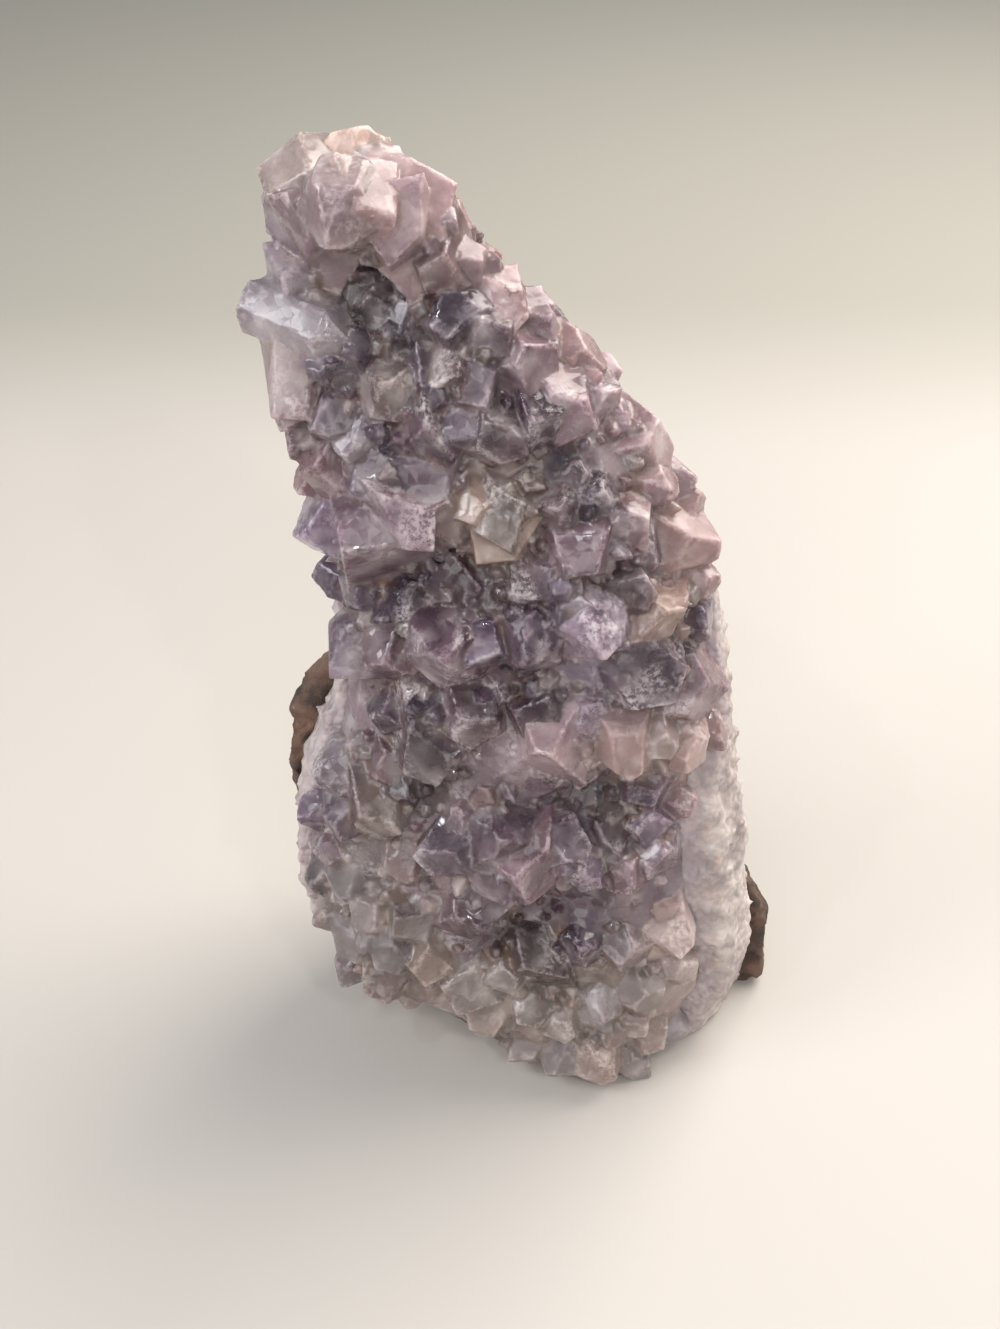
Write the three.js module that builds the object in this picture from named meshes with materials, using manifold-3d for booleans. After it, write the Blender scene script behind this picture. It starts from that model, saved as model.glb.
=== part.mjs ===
// An amethyst cluster that stands on a sawn foot: a druse of amethyst points on a band of pale granular
// quartz, on a rind of brown basalt. Millimetres, +Z up, -Y is the crystal face, and the origin is in the
// middle of the sawn foot.
//
// The three layers are cut from one lofted body by two wavy parting sheets. The large crystals stand where
// the photograph shows them: a ray from its camera through a pixel meets the body, and the crystal grows
// there along the surface normal. Smaller crystals fill the rest of the face by a seeded draw.

import * as THREE from "three";
import { mergeVertices } from "three/addons/utils/BufferGeometryUtils.js";
import Module from "manifold-3d";

// Driving dimensions in millimetres.

const GAP = 0.3; // between two layers that touch
const SEED = 3; // of every random draw
const BED = 1.2; // how far the crystals' common base lies below the surface they are set on
const FOOT_Z = 0; // the saw cut

// The blocks that cut: half-size, half-width and top of the parting sheets, their grid, their wave, and the
// half-width over which a sheet goes from its left to its right value.
const REACH = 90;
const SHEET = { half: 48, top: 136, step: 10, wave: 0.7, waveSize: 7, turnover: 30 };

// Steps of a body's loft, upwards and around.
const FACE_GRID = { rings: 44, sectors: 64 }; // the surface that the crystals are set on
const BED_GRID = { rings: 16, sectors: 24 }; // their common base
const BAND_GRID = { rings: 16, sectors: 24 };
const RIND_GRID = { rings: 20, sectors: 32 };

// The body's outline at rising heights. left, right: the sides. ridge: x of the foremost point. front,
// waist, back: y of the foremost point, of the sides and of the back. wedge: 1 is an elliptic face, under 1
// is flatter and over 1 is more pointed.
const STATIONS = [
  { z: -4, left: -20, right: 27.5, ridge: 9, front: -19.5, waist: 3, back: 18, wedge: 1.6 },
  { z: 3, left: -23, right: 29, ridge: 8, front: -20, waist: 3, back: 19, wedge: 1.5 },
  { z: 8.5, left: -26, right: 29, ridge: 6, front: -19.5, waist: 3, back: 20, wedge: 1.35 },
  { z: 12, left: -30, right: 28, ridge: 4, front: -18, waist: 3, back: 20, wedge: 0.85 },
  { z: 24, left: -32.5, right: 26, ridge: 1, front: -16, waist: 3, back: 20, wedge: 0.8 },
  { z: 38, left: -31, right: 24.5, ridge: -2, front: -13, waist: 3, back: 19.5, wedge: 0.75 },
  { z: 50, left: -26.5, right: 23, ridge: -2, front: -11.5, waist: 4, back: 18.5, wedge: 0.75 },
  { z: 57, left: -24.5, right: 22.5, ridge: -2, front: -10.5, waist: 4, back: 18, wedge: 0.75 },
  { z: 70, left: -25.2, right: 20, ridge: -3, front: -8.5, waist: 5, back: 17, wedge: 0.75 },
  { z: 82, left: -27.2, right: 15.5, ridge: -6, front: -6, waist: 6, back: 16.5, wedge: 0.75 },
  { z: 92, left: -29, right: 7.5, ridge: -11, front: -3, waist: 7, back: 16, wedge: 0.8 },
  { z: 101, left: -29.5, right: -0.5, ridge: -15, front: -1, waist: 8, back: 16, wedge: 0.85 },
  { z: 107, left: -28.5, right: -6.5, ridge: -18, front: 1, waist: 9, back: 15.5, wedge: 0.9 },
  { z: 112, left: -27, right: -11, ridge: -19, front: 3, waist: 10, back: 15, wedge: 0.95 },
  { z: 116, left: -24.5, right: -15, ridge: -19.5, front: 6, waist: 11, back: 14, wedge: 1 },
];

// Where the amethyst meets the quartz, and the quartz meets the basalt: y at the left and right side.
const AMETHYST_BACK = [
  { z: 0, left: 1, right: -13 },
  { z: 24, left: -2, right: -13 },
  { z: 40, left: -4, right: -9 },
  { z: 56, left: 1, right: -2 },
  { z: 72, left: 4, right: 4 },
  { z: 90, left: 9, right: 8 },
  { z: 98, left: 12, right: 12 },
  { z: 106, left: 24, right: 26 },
  { z: 124, left: 36, right: 36 },
];
const QUARTZ_BACK = [
  { z: 0, left: 6, right: -1 },
  { z: 20, left: 5, right: 1 },
  { z: 45, left: 3, right: 5 },
  { z: 60, left: 7, right: 8 },
  { z: 86, left: 12, right: 12 },
  { z: 94, left: 15, right: 15 },
  { z: 102, left: 26, right: 28 },
  { z: 124, left: 40, right: 40 },
];

// Pockets (inwards) and bosses (outwards) of the crystal face, at a pixel of the photograph. wide and tall
// are half-sizes and out is the height, in millimetres.
const RELIEF = [
  { seen: [358, 298], wide: 8, tall: 5, out: -9.5 },
  { seen: [450, 350], wide: 7, tall: 4, out: -2 },
  { seen: [415, 585], wide: 10, tall: 4, out: -6 },
  { seen: [570, 470], wide: 7, tall: 3.5, out: -3.5 },
  { seen: [640, 580], wide: 5, tall: 3, out: -2.5 },
  { seen: [490, 692], wide: 5, tall: 3, out: -2.5 },
  { seen: [600, 812], wide: 8, tall: 4, out: -5 },
  { seen: [440, 782], wide: 7, tall: 3.5, out: -4.5 },
  { seen: [545, 930], wide: 5.5, tall: 4, out: -5 },
  { seen: [378, 888], wide: 6, tall: 3, out: -4 },
  { seen: [340, 200], wide: 10, tall: 5, out: 4 },
  { seen: [350, 525], wide: 9, tall: 4, out: 3.5 },
  { seen: [450, 650], wide: 13, tall: 3.5, out: 2.5 },
  { seen: [600, 650], wide: 10, tall: 5, out: 2 },
  { seen: [590, 752], wide: 13, tall: 3, out: 3 },
  { seen: [510, 855], wide: 9, tall: 5, out: 4 },
  { seen: [340, 800], wide: 6, tall: 7, out: 2 },
  { seen: [370, 955], wide: 9, tall: 4, out: 2.5 },
  { seen: [650, 460], wide: 6, tall: 6, out: 1.5 },
];

// What shapes the layers besides, in millimetres: how far each stands out, and the sizes of its waves.
const FACE = { swell: 0.5, swellSize: 4.5, sideShare: 0.25, fade: 1.6 };
const BAND = { proud: 0.3, grain: 0.45, grainSize: 2.1, wave: 0.4, waveSize: 5 };
const BAND_SHOULDER = { out: 1.6, fromX: 8, toX: 22, fromZ: 60, toZ: 30 }; // at the lower right
const RIND = { sunk: 0.4, lump: 1.2, lumpSize: 6.5, knob: 0.7, knobSize: 2.9, ledge: 1, ledgeSize: 8 };
const PITS = { deep: 2.6, size: 2.3, bare: 0.3 }; // bare: the level of the noise under which there is none
const LEDGE_EDGE = 5; // how sharp a ledge's edge is

// Where the basalt stands out past the crystals and shows beside them.
const RIND_SHOULDERS = [
  { x: -28, z: 48, wide: 9, tall: 9, out: 3.8 },
  { x: 29, z: 7, wide: 8, tall: 15, out: 3.2 },
];

// The photograph's camera, in the part's frame, and its frame in pixels.
const EYE = new THREE.Vector3(-5, -154.4, 178.1);
const PITCH = THREE.MathUtils.degToRad(38); // below the horizon
const FOCAL = 1604;
const MIDDLE = [500, 664.5];

// The large crystals: x and y in the photograph, half-width in millimetres, then how far the tip leans to
// the right and upwards from the surface normal, in degrees, how drawn-out the crystal is, if it is, and
// true for one that still has its whole point.
const CROWN = [
  [290, 172, 4.9, -36, 38, 1.3], [348, 146, 2.9, 0, 46, 1.4], [374, 150, 2.2, 8, 46, 1.3], [392, 164, 2.2, 12, 20],
  [354, 176, 3.0, 6, 8], [290, 222, 4.0, -8, -10], [336, 222, 4.2, -2, -26], [368, 212, 3.2, 8, -30],
  [416, 196, 4.2, 6, 4], [402, 236, 3.1, 4, -30], [440, 222, 3.0, 10, -10], [410, 168, 2.2, 6, 20],
];
const UPPER_POCKET = [
  [322, 282, 2.6, 10, -10], [294, 276, 2.4, 10, 0], [380, 268, 2.2, 0, -12], [350, 262, 2.4, 0, -20],
  [372, 308, 3.0, 0, 10], [404, 322, 2.2, 0, 6], [360, 350, 2.6, 10, 5],
];
const PALE_SLABS = [
  [302, 324, 3.0, 60, -36, 2, true], [298, 382, 2.9, 34, -60, 2.2], [262, 292, 2.6, -4, 30, 1.2],
  [256, 336, 2.4, -4, -20, 1.5], [312, 352, 2.4, 10, -20], [282, 418, 2.4, -4, -30, 1.3],
];
const RIGHT_RIDGE = [
  [438, 266, 3.0, 4, 0], [468, 256, 2.5, 14, 16], [490, 264, 2.0, 10, 40], [510, 290, 2.4, 16, 16],
  [506, 312, 2.8, -4, -26], [536, 304, 2.4, 16, 12], [546, 326, 2.4, 10, -6],
  [578, 354, 3.6, 14, 0], [600, 374, 2.4, 18, 12], [600, 404, 2.5, 8, -18], [622, 414, 2.4, 16, 4],
  [652, 450, 4.1, 4, -8], [680, 480, 2.8, 18, 0], [664, 490, 2.4, 4, -26], [690, 512, 2.8, 14, 6],
  [688, 548, 3.8, 10, -6], [704, 582, 2.7, 14, 4], [704, 622, 2.5, 14, 0], [702, 694, 4.4, 10, 0],
  [714, 730, 2.6, 16, -16],
];
const UPPER_FACE = [
  [450, 320, 3.3, 0, -6], [492, 334, 2.6, 6, 4], [528, 368, 3.6, 0, -8], [444, 370, 2.8, -8, 8],
  [476, 386, 2.6, 8, -4], [386, 388, 3.4, -6, 10], [338, 368, 2.8, -20, 8], [330, 420, 3.6, -16, 6],
  [354, 446, 3.4, -4, -12], [296, 442, 2.6, -20, -4], [426, 400, 2.8, 8, 6], [432, 448, 3.8, 0, -18],
  [568, 412, 3.6, 4, -8], [540, 426, 2.8, -8, -14], [464, 422, 3.2, -4, 8],
  [498, 442, 3.6, 6, -10], [322, 476, 3.6, -8, -16], [376, 474, 3.5, 4, -14], [428, 488, 3.4, 2, -16],
  [298, 480, 2.4, -20, 0],
];
const MIDDLE_FACE = [
  [322, 530, 4.0, -16, 0], [372, 524, 4.4, -4, 0], [412, 526, 3.6, 14, -8],
  [318, 580, 2.6, -10, 0], [470, 502, 2.9, -14, 4], [502, 514, 3.5, 0, -4],
  [498, 552, 3.3, 0, -22], [442, 518, 2.6, -6, 0], [572, 478, 2.6, 0, 6],
  [598, 494, 2.7, 8, 0], [558, 508, 2.6, -6, -6], [578, 550, 3.8, -4, 0], [628, 530, 3.1, 6, 6],
  [640, 558, 2.7, 6, -14], [624, 592, 3.4, 4, 4], [530, 580, 3.0, -4, 4], [564, 588, 2.5, 8, 6],
  [458, 588, 4.3, 8, 6], [400, 598, 3.6, -6, 6], [358, 590, 2.9, -14, 0],
];
const LARGE_ROW = [
  [354, 654, 4.3, -4, -12, 1.1], [386, 662, 3.0, 16, -6], [448, 648, 4.8, 4, -6, 1, true],
  [486, 642, 2.7, 24, 4], [530, 648, 3.6, -2, -14, 1, true], [598, 636, 3.9, 6, -34, 1, true],
  [580, 614, 3.5, -6, 8], [656, 620, 3.3, 4, -14], [652, 676, 4.7, 6, 0], [492, 692, 2.2, 0, -14],
  [474, 728, 3.5, 10, -18], [426, 748, 4.6, -4, -4], [384, 714, 2.6, -8, 6], [540, 718, 3.4, -6, 6],
  [546, 754, 4.2, -4, -18], [592, 720, 2.7, 0, 10], [626, 752, 3.4, 0, -18], [660, 744, 2.6, 6, -10],
  [690, 752, 2.8, 10, -6],
];
const LEFT_BOSS = [
  [334, 770, 3.8, -12, 10], [392, 766, 2.6, 10, 0, 1.3], [380, 816, 3.6, 10, -16],
  [340, 822, 3.0, -6, -16], [312, 812, 2.8, -16, 0], [404, 790, 2.8, 10, -10],
];
const LOWER_FACE = [
  [486, 794, 2.4, 0, 24], [642, 792, 2.6, 0, 6], [684, 806, 2.2, 10, 6], [446, 852, 3.8, -26, 0],
  [500, 838, 4.8, -2, 6], [532, 872, 3.9, 6, -16], [562, 848, 3.8, 16, 0], [586, 874, 2.8, 10, -14],
  [656, 858, 3.4, 4, 0], [622, 874, 2.8, -16, -4], [650, 824, 2.6, 0, 20],
  [324, 854, 2.5, -14, -6], [350, 876, 3.1, -8, 0], [402, 864, 2.6, 8, 0], [372, 914, 3.1, -6, -6],
  [462, 920, 3.3, -6, -14], [500, 894, 2.8, 0, -26],
];
const TOE = [
  [412, 924, 3.1, 4, 0], [350, 946, 3.3, -8, 0], [392, 954, 3.1, 0, -8], [426, 966, 2.7, 4, -12],
  [328, 916, 2.6, -14, 0], [340, 972, 2.6, -8, -16], [384, 984, 2.7, 0, -20], [536, 954, 4.2, -4, 6],
  [582, 946, 2.9, 8, 6], [628, 952, 3.1, 6, 4], [678, 930, 3.3, 8, 0], [644, 996, 3.3, 8, -6],
  [684, 972, 2.6, 10, -6], [466, 990, 3.5, -12, -4], [504, 978, 2.9, -4, 10], [530, 1010, 3.2, -6, 0],
  [484, 1024, 2.8, -12, -10], [600, 1010, 3.1, 4, 0], [652, 1034, 2.9, 8, -8], [564, 1026, 2.8, 0, -4],
  [524, 1054, 2.8, -10, -10], [560, 1066, 2.8, -4, -8], [600, 1068, 2.9, 4, -8], [638, 1066, 2.7, 8, -8],
  [676, 1030, 2.4, 10, -8],
];
const SEEN_CRYSTALS = [
  ...CROWN, ...UPPER_POCKET, ...PALE_SLABS, ...RIGHT_RIDGE, ...UPPER_FACE,
  ...MIDDLE_FACE, ...LARGE_ROW, ...LEFT_BOSS, ...LOWER_FACE, ...TOE,
];

// One quartz crystal, as shares of its half-width.
const SEAT = 0.38; // how far it is let in along its axis
const FORWARD = 0.7; // how far a crystal on a side leans to the crystal face, as a share of its axis
const ROOT_DEPTH = 0.9; // from its origin down to its root
const POINTED_SHARE = 0.12; // of the crystals keep their tip, and the others are worn to a block

// A whole tip: the slope of its rhombohedral faces from the base plane, how much farther out every second
// one lies, with the spread of that, and how far the tip moves out as the crystal is drawn out.
const TIP = { slope: THREE.MathUtils.degToRad(51.8), lesser: 0.16, spread: 0.08, drawn: 1.5 };

// A worn block: the slope of its flanks, the spreads of slope, turn and width, the fewest and most flanks,
// the height of its broken top with its spread, and the largest sideways part of that top's normal.
const BLOCK = {
  slope: THREE.MathUtils.degToRad(66), slopeSpread: 0.35, turnSpread: 0.3, widthSpread: 0.24,
  fewest: 4, most: 5.8, height: 0.76, heightSpread: 0.3, tilt: 0.6,
};

// The crystals that fill what the photograph's list leaves open: most is their number, spacing the nearest
// centres as a share of both half-widths, lean the largest in degrees, edge how near the quartz they stand.
const FILL = { tries: 6000, most: 14, smallest: 1.7, largest: 2.6, spacing: 0.8, lean: 22, edge: 0.4 };

// Small tools.

/** A repeatable stream of numbers from 0 to 1. */
function makeRandom(seed) {
  let state = seed;
  return () => {
    state = (state + 0x6d2b79f5) | 0;
    let t = Math.imul(state ^ (state >>> 15), 1 | state);
    t = (t + Math.imul(t ^ (t >>> 7), 61 | t)) ^ t;
    return ((t ^ (t >>> 14)) >>> 0) / 2 ** 32;
  };
}

/** A value from a table of rows with rising z, linear between rows. */
function between(rows, z, key) {
  const above = rows.findIndex((row) => row.z >= z);
  if (above === 0) return rows[0][key];
  if (above < 0) return rows[rows.length - 1][key];
  const low = rows[above - 1];
  const high = rows[above];
  return THREE.MathUtils.mapLinear(z, low.z, high.z, low[key], high[key]);
}

/** Smooth noise from -1 to 1 that needs no tables: sines along three skewed directions. */
function ripple(p, size, phase = 0) {
  const a = Math.sin((p.x * 0.83 + p.y * 0.41 - p.z * 0.37) / size + phase);
  const b = Math.sin((p.y * 0.89 - p.x * 0.35 + p.z * 0.52) / size + 1.7 * phase + a);
  const c = Math.sin((p.z * 0.91 + p.x * 0.44 - p.y * 0.28) / size + 2.3 * phase + b);
  return (a + b + c) / 3;
}

const signedPower = (v, power) => Math.sign(v) * Math.abs(v) ** power;

/** The middle of a list of points. */
function middleOf(points) {
  return points.reduce((sum, p) => sum.add(p), new THREE.Vector3()).divideScalar(points.length);
}

// Solids for joining and cutting.

const WELD = 1e-4; // nearest that two corners of a solid may be
const wasm = await Module();
wasm.setup();

/** A closed three.js geometry as a solid. */
function solidOf(geometry) {
  const bare = geometry.clone();
  bare.deleteAttribute("normal");
  bare.deleteAttribute("uv");
  const merged = mergeVertices(bare, WELD);
  return new wasm.Manifold(
    new wasm.Mesh({
      numProp: 3,
      vertProperties: merged.attributes.position.array,
      triVerts: new Uint32Array(merged.index.array),
    }),
  );
}

/** A solid as a three.js geometry with flat faces. */
function geometryOf(solid) {
  const mesh = solid.getMesh();
  const indexed = new THREE.BufferGeometry()
    .setAttribute("position", new THREE.BufferAttribute(mesh.vertProperties, 3))
    .setIndex(new THREE.BufferAttribute(mesh.triVerts, 1));
  const flat = indexed.toNonIndexed();
  flat.computeVertexNormals();
  return flat;
}

/** A closed geometry from rings of points, each ring running the same way, with both ends capped. */
function loft(rings) {
  const around = rings[0].length;
  const points = rings.flat();
  const bottom = points.push(middleOf(rings[0])) - 1;
  const top = points.push(middleOf(rings[rings.length - 1])) - 1;
  const index = [];
  for (let r = 0; r < rings.length; r++) {
    for (let s = 0; s < around; s++) {
      const here = r * around + s;
      const next = r * around + ((s + 1) % around);
      if (r === 0) index.push(bottom, next, here);
      if (r === rings.length - 1) index.push(top, here, next);
      else index.push(here, next, next + around, here, next + around, here + around);
    }
  }
  const geometry = new THREE.BufferGeometry().setFromPoints(points);
  geometry.setIndex(index);
  geometry.computeVertexNormals();
  return geometry;
}

// The body and its layers.

/** A point of the smooth body at a height and a turn; a turn of 270 degrees is the foremost point. */
function outlinePoint(z, turn) {
  const at = (key) => between(STATIONS, z, key);
  const cos = Math.cos(turn);
  const sin = Math.sin(turn);
  const power = sin < 0 ? at("wedge") : 0.9;
  const side = cos > 0 ? at("right") - at("ridge") : at("ridge") - at("left");
  const depth = sin > 0 ? at("back") - at("waist") : at("waist") - at("front");
  const x = at("ridge") + side * signedPower(cos, power);
  return new THREE.Vector3(x, at("waist") + depth * signedPower(sin, power), z);
}

/** Rings of the body on a grid, with each point moved by reshape(point, turn). */
function bodyRings({ rings, sectors }, reshape) {
  const low = STATIONS[0].z;
  const high = STATIONS[STATIONS.length - 1].z;
  return Array.from({ length: rings }, (_, r) => {
    const z = THREE.MathUtils.lerp(low, high, r / (rings - 1));
    return Array.from({ length: sectors }, (_, s) => {
      const turn = (2 * Math.PI * s) / sectors;
      return reshape(outlinePoint(z, turn), turn);
    });
  });
}

/** The ray of a pixel of the photograph. */
function rayThrough([x, y]) {
  const right = (x - MIDDLE[0]) / FOCAL;
  const up = (MIDDLE[1] - y) / FOCAL;
  const cos = Math.cos(PITCH);
  const sin = Math.sin(PITCH);
  const direction = new THREE.Vector3(right, cos + up * sin, up * cos - sin).normalize();
  return new THREE.Raycaster(EYE, direction);
}

/** Where a pixel's ray meets a mesh, or the corner that it passes closest to: the point and the normal. */
function seenOn(mesh, pixel) {
  const caster = rayThrough(pixel);
  const [hit] = caster.intersectObject(mesh);
  if (hit) return { point: hit.point, normal: hit.normal.clone().normalize() };
  const { position, normal } = mesh.geometry.attributes;
  const corners = Array.from({ length: position.count }, (_, i) => {
    const point = new THREE.Vector3().fromBufferAttribute(position, i);
    return { point, i, away: caster.ray.distanceToPoint(point) };
  });
  const nearest = corners.reduce((best, corner) => (corner.away < best.away ? corner : best));
  return { point: nearest.point, normal: new THREE.Vector3().fromBufferAttribute(normal, nearest.i) };
}

/** How far bosses and pockets, each a bell with a centre x, z, move a point outwards. */
function reliefAt(point, features) {
  return features.reduce((sum, f) => {
    const across = (point.x - f.x) / f.wide;
    const along = (point.z - f.z) / f.tall;
    return sum + f.out * Math.exp(-(across ** 2 + along ** 2));
  }, 0);
}

/** A point moved away from the body's axis by a distance. */
function movedOut(point, turn, distance) {
  return point.add(new THREE.Vector3(Math.cos(turn), Math.sin(turn), 0).multiplyScalar(distance));
}

/** The crystal face's body on a grid: the smooth body with its pockets and bosses, let in by a depth. */
function makeFaceBody(grid, depth) {
  const smooth = new THREE.Mesh(loft(bodyRings(FACE_GRID, (p) => p)));
  const features = RELIEF.map((f) => {
    const { x, z } = seenOn(smooth, f.seen).point;
    return { ...f, x, z };
  });
  const high = STATIONS[STATIONS.length - 1].z;
  return loft(
    bodyRings(grid, (p, turn) => {
      const facing = Math.max(0, -Math.sin(turn));
      const relief = reliefAt(p, features) * Math.min(1, FACE.fade * facing);
      const out = (relief + FACE.swell * ripple(p, FACE.swellSize)) * facing;
      p.x += FACE.sideShare * Math.cos(turn) * out;
      p.y -= out;
      if (p.z > high - depth) p.z -= depth;
      return movedOut(p, turn, -depth);
    }),
  );
}

/** The pale band's body: granular, and standing out a little at the lower right, where it shows most. */
function makeBandBody() {
  const { out: most, fromX, toX, fromZ, toZ } = BAND_SHOULDER;
  return loft(
    bodyRings(BAND_GRID, (p, turn) => {
      const right = THREE.MathUtils.smoothstep(p.x, fromX, toX);
      const low = THREE.MathUtils.smoothstep(-p.z, -fromZ, -toZ);
      const grain = BAND.grain * ripple(p, BAND.grainSize, 3) + BAND.wave * ripple(p, BAND.waveSize, 1);
      return movedOut(p, turn, BAND.proud + most * right * low + grain);
    }),
  );
}

/** The basalt's body: lumps, ledges, pits, and the shoulders that show beside the crystals. */
function makeRindBody() {
  return loft(
    bodyRings(RIND_GRID, (p, turn) => {
      const lumps = RIND.lump * ripple(p, RIND.lumpSize, 5) + RIND.knob * ripple(p, RIND.knobSize, 2);
      const ledge = RIND.ledge * THREE.MathUtils.clamp(LEDGE_EDGE * ripple(p, RIND.ledgeSize, 2), -1, 1);
      const pit = PITS.deep * Math.max(0, ripple(p, PITS.size, 8) - PITS.bare);
      return movedOut(p, turn, lumps + ledge - pit + reliefAt(p, RIND_SHOULDERS) - RIND.sunk);
    }),
  );
}

/** y of a parting sheet at a place, without its waves. */
function sheetY(sheet, x, z) {
  const share = THREE.MathUtils.clamp((x + SHEET.turnover) / (2 * SHEET.turnover), 0, 1);
  return THREE.MathUtils.lerp(between(sheet, z, "left"), between(sheet, z, "right"), share);
}

/** A block that holds everything behind a parting sheet that is moved by offset along y. */
function behind(sheet, offset) {
  const rings = [];
  for (let z = -SHEET.step; z <= SHEET.top; z += SHEET.step) {
    const ring = [];
    for (let x = -SHEET.half; x <= SHEET.half; x += 2 * SHEET.step) {
      const wave = SHEET.wave * ripple({ x, y: 0, z }, SHEET.waveSize);
      ring.push(new THREE.Vector3(x, sheetY(sheet, x, z) + offset + wave, z));
    }
    ring.push(new THREE.Vector3(SHEET.half, REACH, z), new THREE.Vector3(-SHEET.half, REACH, z));
    rings.push(ring);
  }
  return solidOf(loft(rings));
}

/** Everything above the saw cut. */
function aboveFoot() {
  const box = new THREE.BoxGeometry(2 * REACH, 2 * REACH, 2 * REACH);
  return solidOf(box.translate(0, 0, REACH + FOOT_Z));
}

// Crystals.

/** A convex polygon solid cut by a plane: keeps what is below dot(normal, p) = distance. */
function clip(faces, normal, distance) {
  const cut = [];
  const kept = faces.map((face) => {
    const out = [];
    face.forEach((p, i) => {
      const q = face[(i + 1) % face.length];
      const dp = normal.dot(p) - distance;
      const dq = normal.dot(q) - distance;
      if (dp <= 0) out.push(p);
      if (dp * dq < 0) {
        const crossing = p.clone().lerp(q, dp / (dp - dq));
        out.push(crossing);
        cut.push(crossing);
      }
    });
    return out;
  });
  if (!cut.length) return faces;
  const middle = middleOf(cut);
  const across = cut[0].clone().sub(middle).normalize();
  const side = normal.clone().cross(across);
  const angle = (p) => Math.atan2(side.dot(p.clone().sub(middle)), across.dot(p.clone().sub(middle)));
  const sorted = cut.sort((p, q) => angle(p) - angle(q));
  const ring = sorted.filter((p, i) => p.distanceTo(sorted[(i + 1) % sorted.length]) > WELD / 10);
  return [...kept, ring].filter((face) => face.length > 2);
}

/** The faces of a box from -size to size, each running anticlockwise from outside. */
function boxFaces(size) {
  const corner = (x, y, z) => new THREE.Vector3(x * size, y * size, z * size);
  const sides = [
    [[1, 0, 0], [0, 1, 0], [0, 0, 1]],
    [[0, 1, 0], [0, 0, 1], [1, 0, 0]],
    [[0, 0, 1], [1, 0, 0], [0, 1, 0]],
  ];
  return sides.flatMap(([n, u, v]) =>
    [1, -1].map((way) => {
      const face = [[-1, -1], [1, -1], [1, 1], [-1, 1]].map(([a, b]) =>
        corner(...n.map((_, k) => way * n[k] + a * u[k] + b * v[k])),
      );
      return way > 0 ? face : face.reverse();
    }),
  );
}

/** The faces of a whole point: six rhombohedral faces, three of them larger, on a six-sided prism. */
function tipPlanes(half, long, random) {
  const turn = random() * Math.PI;
  return Array.from({ length: 6 }).flatMap((_, i) => {
    const around = turn + (i * Math.PI) / 3;
    const rise = Math.tan(TIP.slope) * (1 + (i % 2) * TIP.lesser + TIP.spread * random());
    const height = half * (rise + TIP.drawn * (long - 1));
    const tip = { around, slope: TIP.slope, out: height * Math.cos(TIP.slope) };
    return [tip, { around, slope: Math.PI / 2, out: half }];
  });
}

/** The flanks of a worn block: steep and uneven. */
function flankPlanes(half, meanSlope, random) {
  const turn = random() * Math.PI;
  const sides = Math.floor(THREE.MathUtils.lerp(BLOCK.fewest, BLOCK.most, random()));
  return Array.from({ length: sides }, (_, i) => {
    const around = turn + ((i + BLOCK.turnSpread * (random() - 0.5)) * 2 * Math.PI) / sides;
    const slope = meanSlope + BLOCK.slopeSpread * (random() - 0.5);
    const width = half * (1 + BLOCK.widthSpread * (random() - 0.5));
    return { around, slope, out: width * Math.sin(slope) };
  });
}

/** A quartz crystal, standing on the origin along +Z, as a closed geometry. */
function crystalGeometry({ half, long, whole }, random) {
  const pointed = random() < POINTED_SHARE || whole;
  const slope = Math.atan(Math.tan(BLOCK.slope) * long);
  const planes = pointed ? tipPlanes(half, long, random) : flankPlanes(half, slope, random);
  let faces = clip(boxFaces(4 * half), new THREE.Vector3(0, 0, -1), ROOT_DEPTH * half * long);
  for (const { around, slope: tilt, out } of planes) {
    const level = Math.sin(tilt);
    const normal = new THREE.Vector3(Math.cos(around) * level, Math.sin(around) * level, Math.cos(tilt));
    faces = clip(faces, normal, out);
  }
  if (!pointed) {
    const tilt = () => BLOCK.tilt * (2 * random() - 1);
    const top = new THREE.Vector3(tilt(), tilt(), 1).normalize();
    faces = clip(faces, top, half * long * (BLOCK.height + BLOCK.heightSpread * (random() - 0.5)));
  }
  const corners = faces.flatMap((face) =>
    face.slice(2).flatMap((p, i) => [face[0], face[i + 1], p]),
  );
  return new THREE.BufferGeometry().setFromPoints(corners);
}

/** A crystal solid at a point, along a direction. */
function crystalAt(crystal, random) {
  const { point, direction, half } = crystal;
  const upright = new THREE.Vector3(0, 0, 1);
  const geometry = mergeVertices(crystalGeometry(crystal, random), WELD)
    .translate(0, 0, -SEAT * half)
    .applyQuaternion(new THREE.Quaternion().setFromUnitVectors(upright, direction))
    .translate(point.x, point.y, point.z);
  return solidOf(geometry);
}

/** A normal leant to the crystal face on the sides, then to the right and upwards by degrees. */
function leant(normal, right, up) {
  const turned = normal.clone();
  turned.y -= FORWARD * Math.abs(normal.x);
  turned.x += Math.tan(THREE.MathUtils.degToRad(right));
  turned.z += Math.tan(THREE.MathUtils.degToRad(up));
  return turned.normalize();
}

/** The crystals that the photograph shows, as places on the body. */
function seenPlaces(body) {
  return SEEN_CRYSTALS.map(([x, y, half, right, up, long = 1, whole = false]) => {
    const hit = seenOn(body, [x, y]);
    return { point: hit.point, direction: leant(hit.normal, right, up), half, long, whole };
  });
}

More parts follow.
